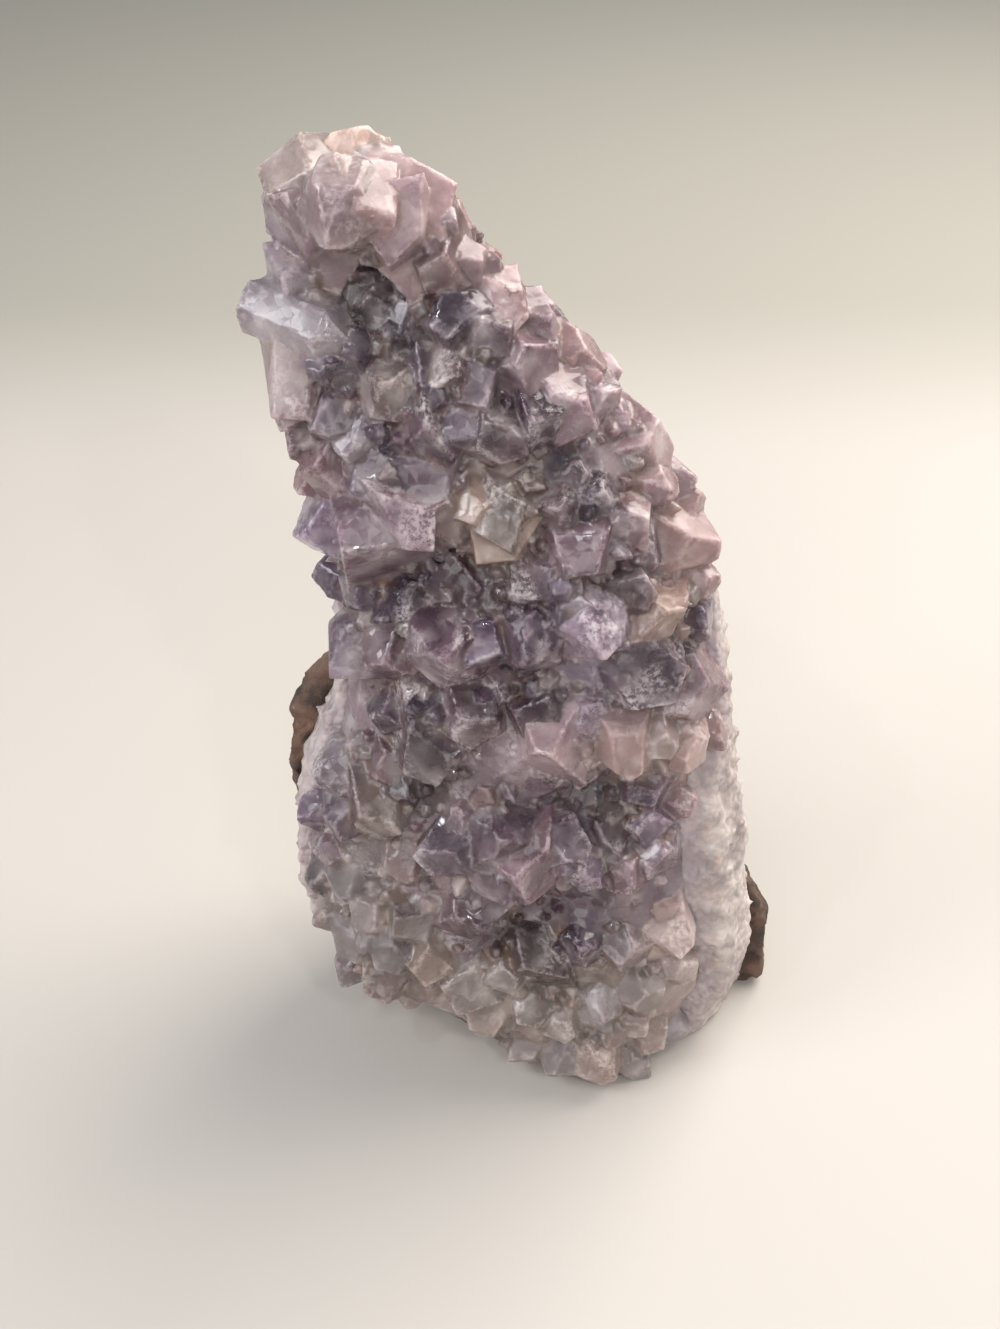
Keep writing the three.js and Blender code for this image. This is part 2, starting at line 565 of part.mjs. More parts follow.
/** Smaller crystals drawn over the rest of the amethyst's outside, clear of the places taken. */
function fillPlaces(body, taken, random) {
  const places = [...taken];
  const spots = body.geometry.attributes.position;
  const normals = body.geometry.attributes.normal;
  for (let n = 0; n < FILL.tries && places.length < taken.length + FILL.most; n++) {
    const i = Math.floor(random() * spots.count);
    const point = new THREE.Vector3().fromBufferAttribute(spots, i);
    const half = THREE.MathUtils.lerp(FILL.smallest, FILL.largest, random() ** 2);
    const lean = (2 * random() - 1) * FILL.lean;
    const tilt = (2 * random() - 1) * FILL.lean;
    const limit = sheetY(AMETHYST_BACK, point.x, point.z) - FILL.edge * half;
    const outside = point.y > limit || point.z < FOOT_Z + 1;
    const crowded = places.some((p) => p.point.distanceTo(point) < FILL.spacing * (p.half + half));
    if (outside || crowded) continue;
    const normal = new THREE.Vector3().fromBufferAttribute(normals, i);
    places.push({ point, direction: leant(normal, lean, tilt), half, long: 1, whole: false });
  }
  return places.slice(taken.length);
}

// The three layers.

/** The druse: the front of the body with every crystal joined to it. */
function makeAmethyst() {
  const random = makeRandom(SEED);
  const surface = new THREE.Mesh(makeFaceBody(FACE_GRID, 0));
  const seen = seenPlaces(surface);
  const places = [...seen, ...fillPlaces(surface, seen, random)];
  const crystals = places.map((place, i) => crystalAt(place, makeRandom(SEED + 101 * i)));
  const joined = crystals.reduce((sum, crystal) => sum.add(crystal), solidOf(makeFaceBody(BED_GRID, BED)));
  return joined.subtract(behind(AMETHYST_BACK, -GAP / 2)).intersect(aboveFoot());
}

/** The band of pale quartz between the two parting sheets. */
function makeQuartz() {
  return solidOf(makeBandBody())
    .intersect(behind(AMETHYST_BACK, GAP / 2))
    .subtract(behind(QUARTZ_BACK, -GAP / 2))
    .intersect(aboveFoot());
}

/** The basalt behind the second sheet. */
function makeBasalt() {
  return solidOf(makeRindBody())
    .intersect(behind(QUARTZ_BACK, GAP / 2))
    .intersect(aboveFoot());
}

/** The largest single body of a solid: chips that a cut leaves loose are dropped. */
function mainBody(solid) {
  return solid.decompose().sort((a, b) => b.volume() - a.volume())[0];
}

/** One layer as a named mesh in its own material. */
function makeLayer(name, solid, color, roughness) {
  const material = new THREE.MeshStandardMaterial({ color, roughness, metalness: 0 });
  const mesh = new THREE.Mesh(geometryOf(mainBody(solid)), material);
  mesh.name = name;
  return mesh;
}

const cluster = new THREE.Group();
cluster.add(
  makeLayer("amethyst_crystals", makeAmethyst(), 0x9b8a9e, 0.25),
  makeLayer("quartz_band", makeQuartz(), 0xc9c6bd, 0.55),
  makeLayer("basalt_rind", makeBasalt(), 0x7d6350, 0.9),
);

export default cluster;
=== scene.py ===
"""Looks of an amethyst cluster that stands on its sawn foot.

Three layers grew one on the other: a druse of amethyst crystals, a band of pale granular quartz, and a
rind of brown basalt. Each layer takes its form from the solid of the same name and gets the detail that
the solid leaves out: the small second growth between the large crystals, worn edges, grain and pits.

Lengths are in metres, or in millimetres where a docstring says so, +Z is up and -Y is the crystal face.
"""

import itertools
import logging
import math
from collections.abc import Sequence
from dataclasses import dataclass, field
from enum import Enum

import bmesh
import bpy
import numpy as np
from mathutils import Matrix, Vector
from mathutils.bvhtree import BVHTree


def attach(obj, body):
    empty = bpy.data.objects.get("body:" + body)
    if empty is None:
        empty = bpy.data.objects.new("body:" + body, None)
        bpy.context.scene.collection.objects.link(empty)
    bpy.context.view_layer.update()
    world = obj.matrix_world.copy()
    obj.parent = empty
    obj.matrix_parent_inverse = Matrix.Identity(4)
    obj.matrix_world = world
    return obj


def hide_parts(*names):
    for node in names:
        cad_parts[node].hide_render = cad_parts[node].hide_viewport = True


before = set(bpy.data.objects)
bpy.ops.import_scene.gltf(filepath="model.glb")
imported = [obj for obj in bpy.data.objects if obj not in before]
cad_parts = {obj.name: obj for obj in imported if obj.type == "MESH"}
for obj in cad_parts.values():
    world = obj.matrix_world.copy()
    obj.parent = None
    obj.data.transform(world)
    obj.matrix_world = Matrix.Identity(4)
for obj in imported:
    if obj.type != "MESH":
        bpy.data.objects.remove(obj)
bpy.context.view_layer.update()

MM = 0.001
SAME_PLACE = 0.002 * MM  # corners nearer than this are one
FOOT_REACH = 0.1 * MM  # a level face below this is the sawn foot
BARE_FOOT = 0.6 * MM  # nothing grows below this
QUARTZ_INDEX = 1.544  # of refraction
BODY = "root"

log = logging.getLogger("amethyst_cluster")


# Colours


class Tint(Enum):
    """The stone's colours, as red, green and blue from 0 to 255, and how clear that stone is from 0 to 1.
    Three of them also carry painted light or shade, as noted at each.
    """

    # Cream-white, raised towards white as painted light on a face that the lamps leave in shade.
    IVORY_AND_PAINTED_LIGHT = (240, 224, 212, 0.3)
    CREAM = (192, 170, 162, 0.1)
    SHELL = (182, 155, 154, 0.3)
    CLAY = (154, 140, 132, 0.2)
    ROSE = (164, 135, 138, 0.45)
    PALE_LILAC = (162, 141, 154, 0.5)
    LILAC = (140, 118, 130, 0.6)
    GREY_LILAC = (118, 98, 111, 0.7)
    PURPLE = (100, 80, 98, 0.9)
    # Deep purple, laid only in pockets and hollows, where its darkness is partly painted shade.
    DEEP_PURPLE_AND_SHADE = (84, 68, 80, 0.8)
    # Painted shade: a near-black tint laid only in hollows and under overhangs.
    SMOKE = (62, 49, 56, 0.7)
    FROST = (186, 172, 172, 0.2)
    TAN = (166, 145, 130, 0.45)
    SAND = (162, 146, 136, 0.4)
    VIOLET = (82, 64, 108, 0.8)
    RUST = (190, 132, 74, 0.2)

    @property
    def linear(self) -> np.ndarray:
        """The colour with its light in proportion, from 0 to 1, and the clearness."""
        *colour, clear = self.value
        return np.array([*linear_light(colour), clear])


def linear_light(colour: Sequence[float]) -> tuple[float, ...]:
    """A screen colour as amounts of light, by the curve that screens share.

    Args:
        colour: red, green and blue from 0 to 255.

    Returns:
        Red, green and blue from 0 to 1, in proportion to light.
    """
    shares = [c / 255 for c in colour]
    return tuple(c / 12.92 if c <= 0.04045 else ((c + 0.055) / 1.055) ** 2.4 for c in shares)


@dataclass(frozen=True)
class Zone:
    """A soft patch of one tint on the crystal face, in pixels of the photograph's frame."""

    x: float
    y: float
    wide: float
    tall: float
    tint: Tint


GROUND_TINT = Tint.GREY_LILAC
GROUND_WEIGHT = 0.12
ZONES = {
    # Painted light: the block is tinted near white so that it looks lit.
    "crown, left block": Zone(292, 160, 52, 36, Tint.IVORY_AND_PAINTED_LIGHT),
    "crown, top": Zone(372, 138, 30, 24, Tint.CREAM),
    "crown, left foot": Zone(285, 222, 30, 32, Tint.LILAC),
    "crown, middle": Zone(340, 215, 40, 32, Tint.SHELL),
    "crown, right": Zone(425, 195, 40, 36, Tint.SHELL),
    # Painted shade in the upper pocket.
    "upper pocket": Zone(352, 302, 66, 42, Tint.SMOKE),
    "left slab, outside": Zone(272, 330, 28, 70, Tint.FROST),
    "left slab, inside": Zone(310, 330, 26, 40, Tint.FROST),
    # Purple with painted shade under the left slab.
    "under the left slab": Zone(330, 368, 30, 22, Tint.PURPLE),
    "pale spot by the slab": Zone(385, 392, 22, 18, Tint.SAND),
    "upper left field": Zone(370, 445, 70, 50, Tint.GREY_LILAC),
    "left edge, upper": Zone(295, 470, 20, 50, Tint.ROSE),
    "ridge, top": Zone(480, 262, 34, 22, Tint.SHELL),
    "ridge, upper": Zone(512, 305, 30, 26, Tint.SHELL),
    "ridge, middle": Zone(575, 358, 44, 28, Tint.SHELL),
    "ridge, lower": Zone(612, 408, 28, 26, Tint.ROSE),
    "right shoulder": Zone(655, 470, 38, 42, Tint.SHELL),
    "right edge": Zone(690, 560, 30, 60, Tint.SHELL),
    # Deep purple with painted shade in the pocket under the ridge.
    "pocket under the ridge": Zone(465, 322, 46, 34, Tint.DEEP_PURPLE_AND_SHADE),
    "tan line in the pocket": Zone(455, 348, 24, 14, Tint.SAND),
    # Purple with painted shade under the ridge.
    "dark field under the ridge": Zone(508, 374, 40, 34, Tint.PURPLE),
    # Deep purple with painted shade in the right pocket.
    "right pocket": Zone(590, 495, 56, 38, Tint.DEEP_PURPLE_AND_SHADE),
    "split pale crystal": Zone(500, 505, 44, 34, Tint.SAND),
    "foot of the pale crystal": Zone(495, 555, 28, 18, Tint.TAN),
    "big left block": Zone(360, 528, 62, 28, Tint.PALE_LILAC),
    # Deep purple with painted shade in the long hollow.
    "long dark hollow": Zone(415, 600, 90, 36, Tint.DEEP_PURPLE_AND_SHADE),
    "grey point in the middle": Zone(575, 552, 28, 26, Tint.PALE_LILAC),
    # Painted shade in the small hollow.
    "small dark hollow": Zone(612, 586, 32, 16, Tint.SMOKE),
    "left block, lower": Zone(360, 660, 38, 44, Tint.LILAC),
    "round crystal in the row": Zone(450, 650, 44, 40, Tint.GREY_LILAC),
    "dark crystal in the row": Zone(530, 648, 28, 44, Tint.PURPLE),
    "frosted crystal in the row": Zone(598, 642, 38, 54, Tint.PALE_LILAC),
    "tan crystal at the right": Zone(662, 620, 26, 22, Tint.TAN),
    "smooth crystal at the right": Zone(655, 674, 34, 32, Tint.GREY_LILAC),
    "violet spot at the edge": Zone(702, 612, 14, 14, Tint.VIOLET),
    "rust spot at the edge": Zone(719, 646, 9, 14, Tint.RUST),
    "lower right edge": Zone(704, 690, 30, 38, Tint.ROSE),
    # Painted shade in the hollow under the row.
    "hollow under the row": Zone(430, 742, 34, 30, Tint.SMOKE),
    "crystal under the row": Zone(470, 732, 30, 30, Tint.LILAC),
    "pink ledge": Zone(560, 755, 66, 24, Tint.SHELL),
    "ledge, right": Zone(665, 752, 40, 20, Tint.CREAM),
    "white left edge": Zone(322, 745, 24, 46, Tint.FROST),
    "violet corner at the left": Zone(332, 798, 30, 34, Tint.LILAC),
    "brown spot at the left": Zone(378, 812, 24, 28, Tint.TAN),
    "shadow over the boss": Zone(440, 795, 44, 18, Tint.SMOKE),
    "shadow under the ledge": Zone(560, 785, 44, 14, Tint.SMOKE),
    # Painted shade beside the boss.
    "hollow beside the boss": Zone(620, 830, 22, 30, Tint.SMOKE),
    "boss": Zone(510, 850, 86, 60, Tint.LILAC),
    "pale tip on the boss": Zone(470, 800, 30, 14, Tint.SHELL),
    "crystal beside the boss": Zone(655, 858, 32, 40, Tint.PALE_LILAC),
    "clay field at the left": Zone(375, 915, 60, 60, Tint.CLAY),
    # Painted shade in the hollow under the boss.
    "hollow under the boss": Zone(545, 940, 52, 32, Tint.SMOKE),
    "violet spot under the boss": Zone(585, 945, 18, 18, Tint.PURPLE),
    "toe": Zone(560, 1045, 130, 44, Tint.CLAY),
    "rim over the toe": Zone(560, 985, 80, 24, Tint.SAND),
    "cream rim at the right": Zone(668, 950, 30, 60, Tint.CREAM),
    "sand rim in the middle": Zone(460, 985, 50, 24, Tint.SAND),
    "wall, upper": Zone(696, 800, 20, 50, Tint.SHELL),
    "wall, middle": Zone(700, 890, 18, 50, Tint.SHELL),
    "wall, lower": Zone(690, 1010, 20, 50, Tint.FROST),
}


# Node trees


@dataclass(frozen=True)
class Value:
    """The output of a node, with the arithmetic that adds further nodes."""

    graph: "Graph"
    socket: bpy.types.NodeSocket

    def _math(self, operation: str, *terms: "float | Value") -> "Value":
        """A Math node on numbers."""
        return self.graph.value("ShaderNodeMath", {"operation": operation}, dict(enumerate(terms)))

    def __add__(self, other: "float | Value") -> "Value":
        """Sum."""
        return self._math("ADD", self, other)

    def __sub__(self, other: "float | Value") -> "Value":
        """Difference."""
        return self._math("SUBTRACT", self, other)

    def __rsub__(self, other: "float | Value") -> "Value":
        """Difference from a number."""
        return self._math("SUBTRACT", other, self)

    def __mul__(self, other: "float | Value") -> "Value":
        """Product."""
        return self._math("MULTIPLY", self, other)

    __radd__ = __add__
    __rmul__ = __mul__

    def __pow__(self, other: "float | Value") -> "Value":
        """Power."""
        return self._math("POWER", self, other)

    def clamped(self) -> "Value":
        """The value held between 0 and 1."""
        return self.graph.value("ShaderNodeClamp", {}, {0: self})

    def step(self, low: float, high: float) -> "Value":
        """A smooth rise from 0 to 1.

        Args:
            low: where the rise starts.
            high: where it ends; it falls if high is under low.

        Returns:
            The risen value.
        """
        start, end, first, last = (low, high, 0.0, 1.0) if low < high else (high, low, 1.0, 0.0)
        settings = {"interpolation_type": "SMOOTHSTEP"}
        return self.graph.value(
            "ShaderNodeMapRange", settings, {0: self, 1: start, 2: end, 3: first, 4: last}
        )


class Graph:
    """Adds nodes to a tree."""

    def __init__(self, tree: bpy.types.NodeTree) -> None:
        """Takes the tree that nodes are added to."""
        self.tree = tree

    def node(
        self, kind: str, settings: dict | None = None, sockets: dict | None = None
    ) -> bpy.types.Node:
        """A node with its settings made first, then its sockets linked or filled.

        Args:
            kind: the node's type.
            settings: its properties.
            sockets: a value, output or plain value for each socket, by name or number.

        Returns:
            The node.
        """
        made = self.tree.nodes.new(kind)
        for name, setting in (settings or {}).items():
            setattr(made, name, setting)
        for name, content in (sockets or {}).items():
            self._fill(made.inputs[name], content)
        return made

    def value(
        self, kind: str, settings: dict | None = None, sockets: dict | None = None, output: "str | int" = 0
    ) -> Value:
        """One output of a new node, as a value to reckon with."""
        return Value(self, self.node(kind, settings, sockets).outputs[output])

    def vectors(self, operation: str, first: object, second: object, output: "str | int" = 0) -> Value:
        """A Vector Math node on two vectors, or on a vector and its factor."""
        other = "Scale" if operation == "SCALE" else 1
        return self.value("ShaderNodeVectorMath", {"operation": operation}, {0: first, other: second}, output)

    def _fill(self, socket: bpy.types.NodeSocket, content: object) -> None:
        """Links or fills one socket."""
        if isinstance(content, Value):
            self.tree.links.new(content.socket, socket)
        elif isinstance(content, bpy.types.NodeSocket):
            self.tree.links.new(content, socket)
        elif socket.type == "RGBA" and len(content) == 3:
            socket.default_value = (*content, 1.0)
        else:
            socket.default_value = content


class Paint(Graph):
    """The nodes of one material, with sizes in millimetres."""

    MIX_FIRST, MIX_SECOND, MIX_RESULT = 6, 7, 2  # the colour sockets of a Mix node

    def __init__(self, name: str) -> None:
        """Makes an empty material of that name."""
        self.material = bpy.data.materials.new(name)
        self.material.use_nodes = True
        super().__init__(self.material.node_tree)
        self.tree.nodes.clear()
        place = self.value("ShaderNodeTexCoord", output="Object")
        self.place = self.scaled(place, 1 / MM)

    def scaled(self, vector: Value, factor: "Value | float") -> Value:
        """A vector or colour times a number."""
        return self.vectors("SCALE", vector, factor)

    def attribute(self, name: str, output: str = "Fac") -> Value:
        """A number or colour that the mesh holds."""
        return self.value("ShaderNodeAttribute", {"attribute_name": name}, output=output)

    def noise(self, size: float, detail: float = 3.0, rough: float = 0.55, bend: float = 0.0) -> Value:
        """Cloud noise from 0 to 1.

        Args:
            size: across a cloud, in millimetres.
            detail: how many finer layers it has.
            rough: how strong they are.
            bend: how much the clouds curl.

        Returns:
            The noise.
        """
        sockets = {
            "Vector": self.place, "Scale": 1 / size, "Detail": detail, "Roughness": rough, "Distortion": bend,
        }
        return self.value("ShaderNodeTexNoise", {}, sockets)

    def _cell(self, size: float) -> bpy.types.Node:
        """The nearest of the scattered cell middles, with cells of a size in millimetres."""
        sockets = {"Vector": self.place, "Scale": 1 / size}
        return self.node("ShaderNodeTexVoronoi", {"feature": "F1"}, sockets)

    def cells(self, size: float) -> Value:
        """Grains of a size in millimetres: 0 in the middle of each, and more towards its rim."""
        return Value(self, self._cell(size).outputs["Distance"])

    def shards(self, size: float) -> tuple[Value, Value]:
        """A tilted flat in each cell, like splintered stone: a height that is near 0 in the middle.

        Args:
            size: across a flat, in millimetres.

        Returns:
            The height in millimetres, for a slope of about 1, and 1 at the flats' rims and 0 inside.
        """
        cell = self._cell(size)
        away = self.vectors("SUBTRACT", self.place, cell.outputs["Position"])
        slope = self.vectors("SUBTRACT", cell.outputs["Color"], (0.5, 0.5, 0.5))
        height = self.vectors("DOT_PRODUCT", away, slope, "Value")
        return height, Value(self, cell.outputs["Distance"]).step(0.55, 0.95)

    def mixed(self, first: "Value | tuple", second: "Value | tuple", share: "Value | float") -> Value:
        """Two colours mixed.

        Args:
            first: the colour at share 0.
            second: the colour at share 1.
            share: how much of the second.

        Returns:
            The colour.
        """
        settings = {"data_type": "RGBA", "blend_type": "MIX", "clamp_factor": True}
        sockets = {0: share, self.MIX_FIRST: first, self.MIX_SECOND: second}
        return self.value("ShaderNodeMix", settings, sockets, self.MIX_RESULT)

    def bump(self, height: Value, depth: float) -> Value:
        """A bumped normal: height from 0 to 1 stands for a depth in millimetres."""
        return self.value("ShaderNodeBump", {}, {"Height": height, "Distance": depth * MM, "Strength": 1.0})

    def principled(self, sockets: dict) -> Value:
        """A Principled shader."""
        return self.value("ShaderNodeBsdfPrincipled", {}, sockets)

    def finish(self, surface: Value, volume: Value | None = None) -> bpy.types.Material:
        """Ends the material in its surface and volume."""
        sockets = {"Surface": surface}
        if volume:
            sockets["Volume"] = volume
        self.node("ShaderNodeOutputMaterial", {}, sockets)
        return self.material


# Meshes as arrays

SCATTER = np.array([73856093, 19349663, 83492791], np.int64)
LAST_BITS = 0xFFFFFF
FARTHER_THAN_ANY = 9.0
NEXT_LAYER = 101


def hashed(cells: np.ndarray, seed: int) -> np.ndarray:
    """A repeatable number from 0 to 1 for each row of whole numbers.

    Args:
        cells: three whole numbers a row.
        seed: of the draw.

    Returns:
        A number for each row. The large primes only scatter the bits.
    """
    mixed = (cells.astype(np.int64) * SCATTER).sum(axis=-1) + seed * 2654435761
    mixed = (mixed ^ (mixed >> 13)) * 1274126177
    mixed = (mixed ^ (mixed >> 16)) & LAST_BITS
    return mixed / LAST_BITS


def cloud(points: np.ndarray, size: float, seed: int) -> np.ndarray:
    """Smooth noise.

    Args:
        points: places, one a row, in metres.
        size: across a cloud, in metres.
        seed: of the draw.

    Returns:
        A number from -1 to 1 for each place.
    """
    spot = points / size
    cell = np.floor(spot).astype(np.int64)
    part = spot - cell
    part = part * part * (3 - 2 * part)
    total = np.zeros(len(points))
    for corner in itertools.product((0, 1), repeat=3):
        share = np.prod(np.where(corner, part, 1 - part), axis=1)
        total += share * hashed(cell + np.array(corner), seed)
    return 2 * total - 1


def clouds(points: np.ndarray, size: float, seed: int, layers: int) -> np.ndarray:
    """Smooth noise with finer layers on it.

    Args:
        points: places, one a row, in metres.
        size: across the widest cloud, in metres.
        seed: of the draw.
        layers: how many, each half as wide and strong as the one before.

    Returns:
        A number from -1 to 1 for each place.
    """
    total = sum(0.5**k * cloud(points, size * 0.5**k, seed + NEXT_LAYER * k) for k in range(layers))
    return total / (2 - 0.5 ** (layers - 1))


def rise(values: np.ndarray, low: float, high: float) -> np.ndarray:
    """A smooth rise from 0 at low to 1 at high, or a fall where high is under low."""
    share = np.clip((values - low) / (high - low), 0, 1)
    return share * share * (3 - 2 * share)


def blend(colours: np.ndarray, other: "np.ndarray | tuple", share: np.ndarray) -> np.ndarray:
    """Colours, one a row, mixed with another by a share for each row."""
    share = np.clip(share, 0, 1)[:, None]
    return colours * (1 - share) + np.asarray(other) * share


def grains(points: np.ndarray, size: float, seed: int) -> tuple[np.ndarray, np.ndarray]:
    """The grain that each place is in, of grains scattered one to a cell.

    Args:
        points: places, one a row, in metres.
        size: across a grain, in metres.
        seed: of the draw.

    Returns:
        The distance to the grain's middle as a share of its size, and the height of a tilted flat through
        that middle, like a broken face, from about -1 to 1.
    """
    spot = points / size
    cell = np.floor(spot).astype(np.int64)
    nearest = np.full(len(points), FARTHER_THAN_ANY)
    height = np.zeros(len(points))
    for step in itertools.product((-1, 0, 1), repeat=3):
        other = cell + np.array(step)
        away = spot - other - np.stack([hashed(other, seed + k) for k in range(3)], axis=1)
        slope = 2 * np.stack([hashed(other, seed + 5 + k) for k in range(3)], axis=1) - 1
        distance = np.linalg.norm(away, axis=1)
        closer = distance < nearest
        nearest = np.where(closer, distance, nearest)
        height = np.where(closer, (away * slope).sum(axis=1), height)
    return nearest, height


class Skin:
    """A closed mesh as arrays: its corners, which can be moved, and its edges and normals."""

    def __init__(self, mesh: bpy.types.Mesh) -> None:
        """Reads the mesh."""
        self.mesh = mesh
        count = len(mesh.vertices)
        edges = np.empty(2 * len(mesh.edges), np.int32)
        mesh.edges.foreach_get("vertices", edges)
        self.edges = edges.reshape(-1, 2)
        ends = self.edges.ravel()
        self.degree = np.bincount(ends, minlength=count).astype(float)
        self.points = self._read("vertices", "co")
        self.normals = self._read("vertex_normals", "vector")

    def _read(self, items: str, name: str) -> np.ndarray:
        """Three numbers of each corner."""
        source = getattr(self.mesh, items)
        flat = np.empty(3 * len(source), np.float32)
        source.foreach_get(name, flat)
        return flat.reshape(-1, 3).astype(float)

    def averaged(self, values: np.ndarray) -> np.ndarray:
        """Each corner's mean over its neighbours."""
        first, second = self.edges.T
        columns = values.reshape(len(values), -1)
        total = [
            np.bincount(first, column[second], len(values)) + np.bincount(second, column[first], len(values))
            for column in columns.T
        ]
        return (np.stack(total, axis=1) / self.degree[:, None]).reshape(values.shape)

    def smoothed(self, values: np.ndarray, rounds: int) -> np.ndarray:
        """Values smoothed over the surface."""
        for _ in range(rounds):
            values = 0.5 * values + 0.5 * self.averaged(values)
        return values

    def above(self, form: np.ndarray) -> np.ndarray:
        """How far each corner stands out of a smoother form, in millimetres."""
        return np.einsum("ij,ij->i", self.points - form, self.normals) / MM

    def lift(self, rounds: int) -> np.ndarray:
        """How far each corner stands out of its own surface smoothed, in millimetres."""
        return self.above(self.smoothed(self.points, rounds))

    def stand(self) -> None:
        """Keeps the foot flat on the ground."""
        self.points[:, 2] = np.maximum(self.points[:, 2], 0)

    def write(self) -> None:
        """Puts the moved corners into the mesh."""
        self.mesh.vertices.foreach_set("co", self.points.astype(np.float32).ravel())
        self.mesh.update()
        self.normals = self._read("vertex_normals", "vector")

    def store(self, name: str, values: np.ndarray) -> None:
        """Keeps a number or a colour at each corner under a name."""
        if values.ndim == 1:
            layer = self.mesh.attributes.new(name, "FLOAT", "POINT")
            layer.data.foreach_set("value", values.astype(np.float32))
            return
        layer = self.mesh.attributes.new(name, "FLOAT_COLOR", "POINT")
        opaque = np.concatenate([values, np.ones((len(values), 1))], axis=1)
        layer.data.foreach_set("color", opaque.astype(np.float32).ravel())


def with_modifier(mesh: bpy.types.Mesh, kind: str, settings: dict) -> bpy.types.Mesh:
    """A mesh as a modifier leaves it.

    Args:
        mesh: the mesh before it, which is kept.
        kind: the modifier's type.
        settings: its properties; names that start with Socket_ are a node tree's inputs.

    Returns:
        A new plain mesh.
    """
    holder = bpy.data.objects.new("holder", mesh)
    bpy.context.scene.collection.objects.link(holder)
    modifier = holder.modifiers.new(kind, kind)
    for name, setting in settings.items():
        if name.startswith("Socket_"):
            modifier[name] = setting
        else:
            setattr(modifier, name, setting)
    seen = holder.evaluated_get(bpy.context.evaluated_depsgraph_get())
    result = bpy.data.meshes.new_from_object(seen)
    bpy.data.objects.remove(holder)
    return result


def remeshed(mesh: bpy.types.Mesh, voxel: float) -> bpy.types.Mesh:
    """Overlapping closed shapes as one closed, even skin."""
    settings = {"mode": "VOXEL", "voxel_size": voxel, "adaptivity": 0.0, "use_smooth_shade": True}
    return with_modifier(mesh, "REMESH", settings)


def search_tree(mesh: bpy.types.Mesh) -> BVHTree:
    """Finds the nearest place on a mesh."""
    return BVHTree.FromPolygons([v.co for v in mesh.vertices], [tuple(p.vertices) for p in mesh.polygons])


def triangle_count(mesh: bpy.types.Mesh) -> int:
    """How many triangles a mesh comes to."""
    return sum(len(face.vertices) - 2 for face in mesh.polygons)


def merged_copy(node: str) -> bpy.types.Mesh:
    """A copy of a solid's mesh with its loose triangles joined."""
    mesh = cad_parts[node].data.copy()
    shape = bmesh.new()
    shape.from_mesh(mesh)
    bmesh.ops.remove_doubles(shape, verts=shape.verts, dist=SAME_PLACE)
    bmesh.ops.dissolve_degenerate(shape, edges=shape.edges, dist=SAME_PLACE / 2)
    bmesh.ops.triangulate(shape, faces=shape.faces)
    shape.to_mesh(mesh)
    shape.free()
    mesh.materials.clear()
    return mesh


def drop_folds(mesh: bpy.types.Mesh) -> None:
    """Deletes faces that lie back to back on the same corners, which thinning can leave behind."""
    shape = bmesh.new()
    shape.from_mesh(mesh)
    by_corners = {}
    for face in shape.faces:
        by_corners.setdefault(frozenset(corner.index for corner in face.verts), []).append(face)
    folds = [face for faces in by_corners.values() if len(faces) > 1 for face in faces]
    bmesh.ops.delete(shape, geom=folds, context="FACES")
    shape.to_mesh(mesh)
    shape.free()


def joined(*parts: bpy.types.Mesh) -> bpy.types.Mesh:
    """Several meshes as one, with their faces in order."""
    corners, faces = [], []
    for part in parts:
        shift = len(corners)
        corners += [v.co[:] for v in part.vertices]
        faces += [tuple(v + shift for v in p.vertices) for p in part.polygons]
    mesh = bpy.data.meshes.new("joined")
    mesh.from_pydata(corners, [], faces)
    mesh.update()
    return mesh


def nearness(points: np.ndarray, node: str, reach: float) -> np.ndarray:
    """How near places are to a solid: 1 at its surface, and 0 at the reach and beyond."""
    tree = search_tree(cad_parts[node].data)
    found = [tree.find_nearest(Vector(point), reach)[3] for point in points]
    return np.array([0.0 if away is None else 1 - away / reach for away in found])


@dataclass
class Layer:
    """One layer of the stone, in place of the solid of the same name, and in its own finish."""

    node: str
    slot: str
    finish: "AmethystFinish | QuartzFinish | BasaltFinish"

    def shaped(self, material: bpy.types.Material) -> bpy.types.Mesh:
        """The layer's mesh in its place, with the attributes that its finish reads."""
        raise NotImplementedError

    def build(self) -> bpy.types.Object:
        """Makes the layer a piece of the object."""
        material = self.finish.make()
        mesh = self.shaped(material)
        mesh.materials.clear()
        mesh.materials.append(material)
        mesh.shade_smooth()
        piece = bpy.data.objects.new(f"{self.node}_detailed", mesh)
        bpy.context.scene.collection.objects.link(piece)
        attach(piece, BODY)
        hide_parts(self.node)
        return piece


# The photograph's camera


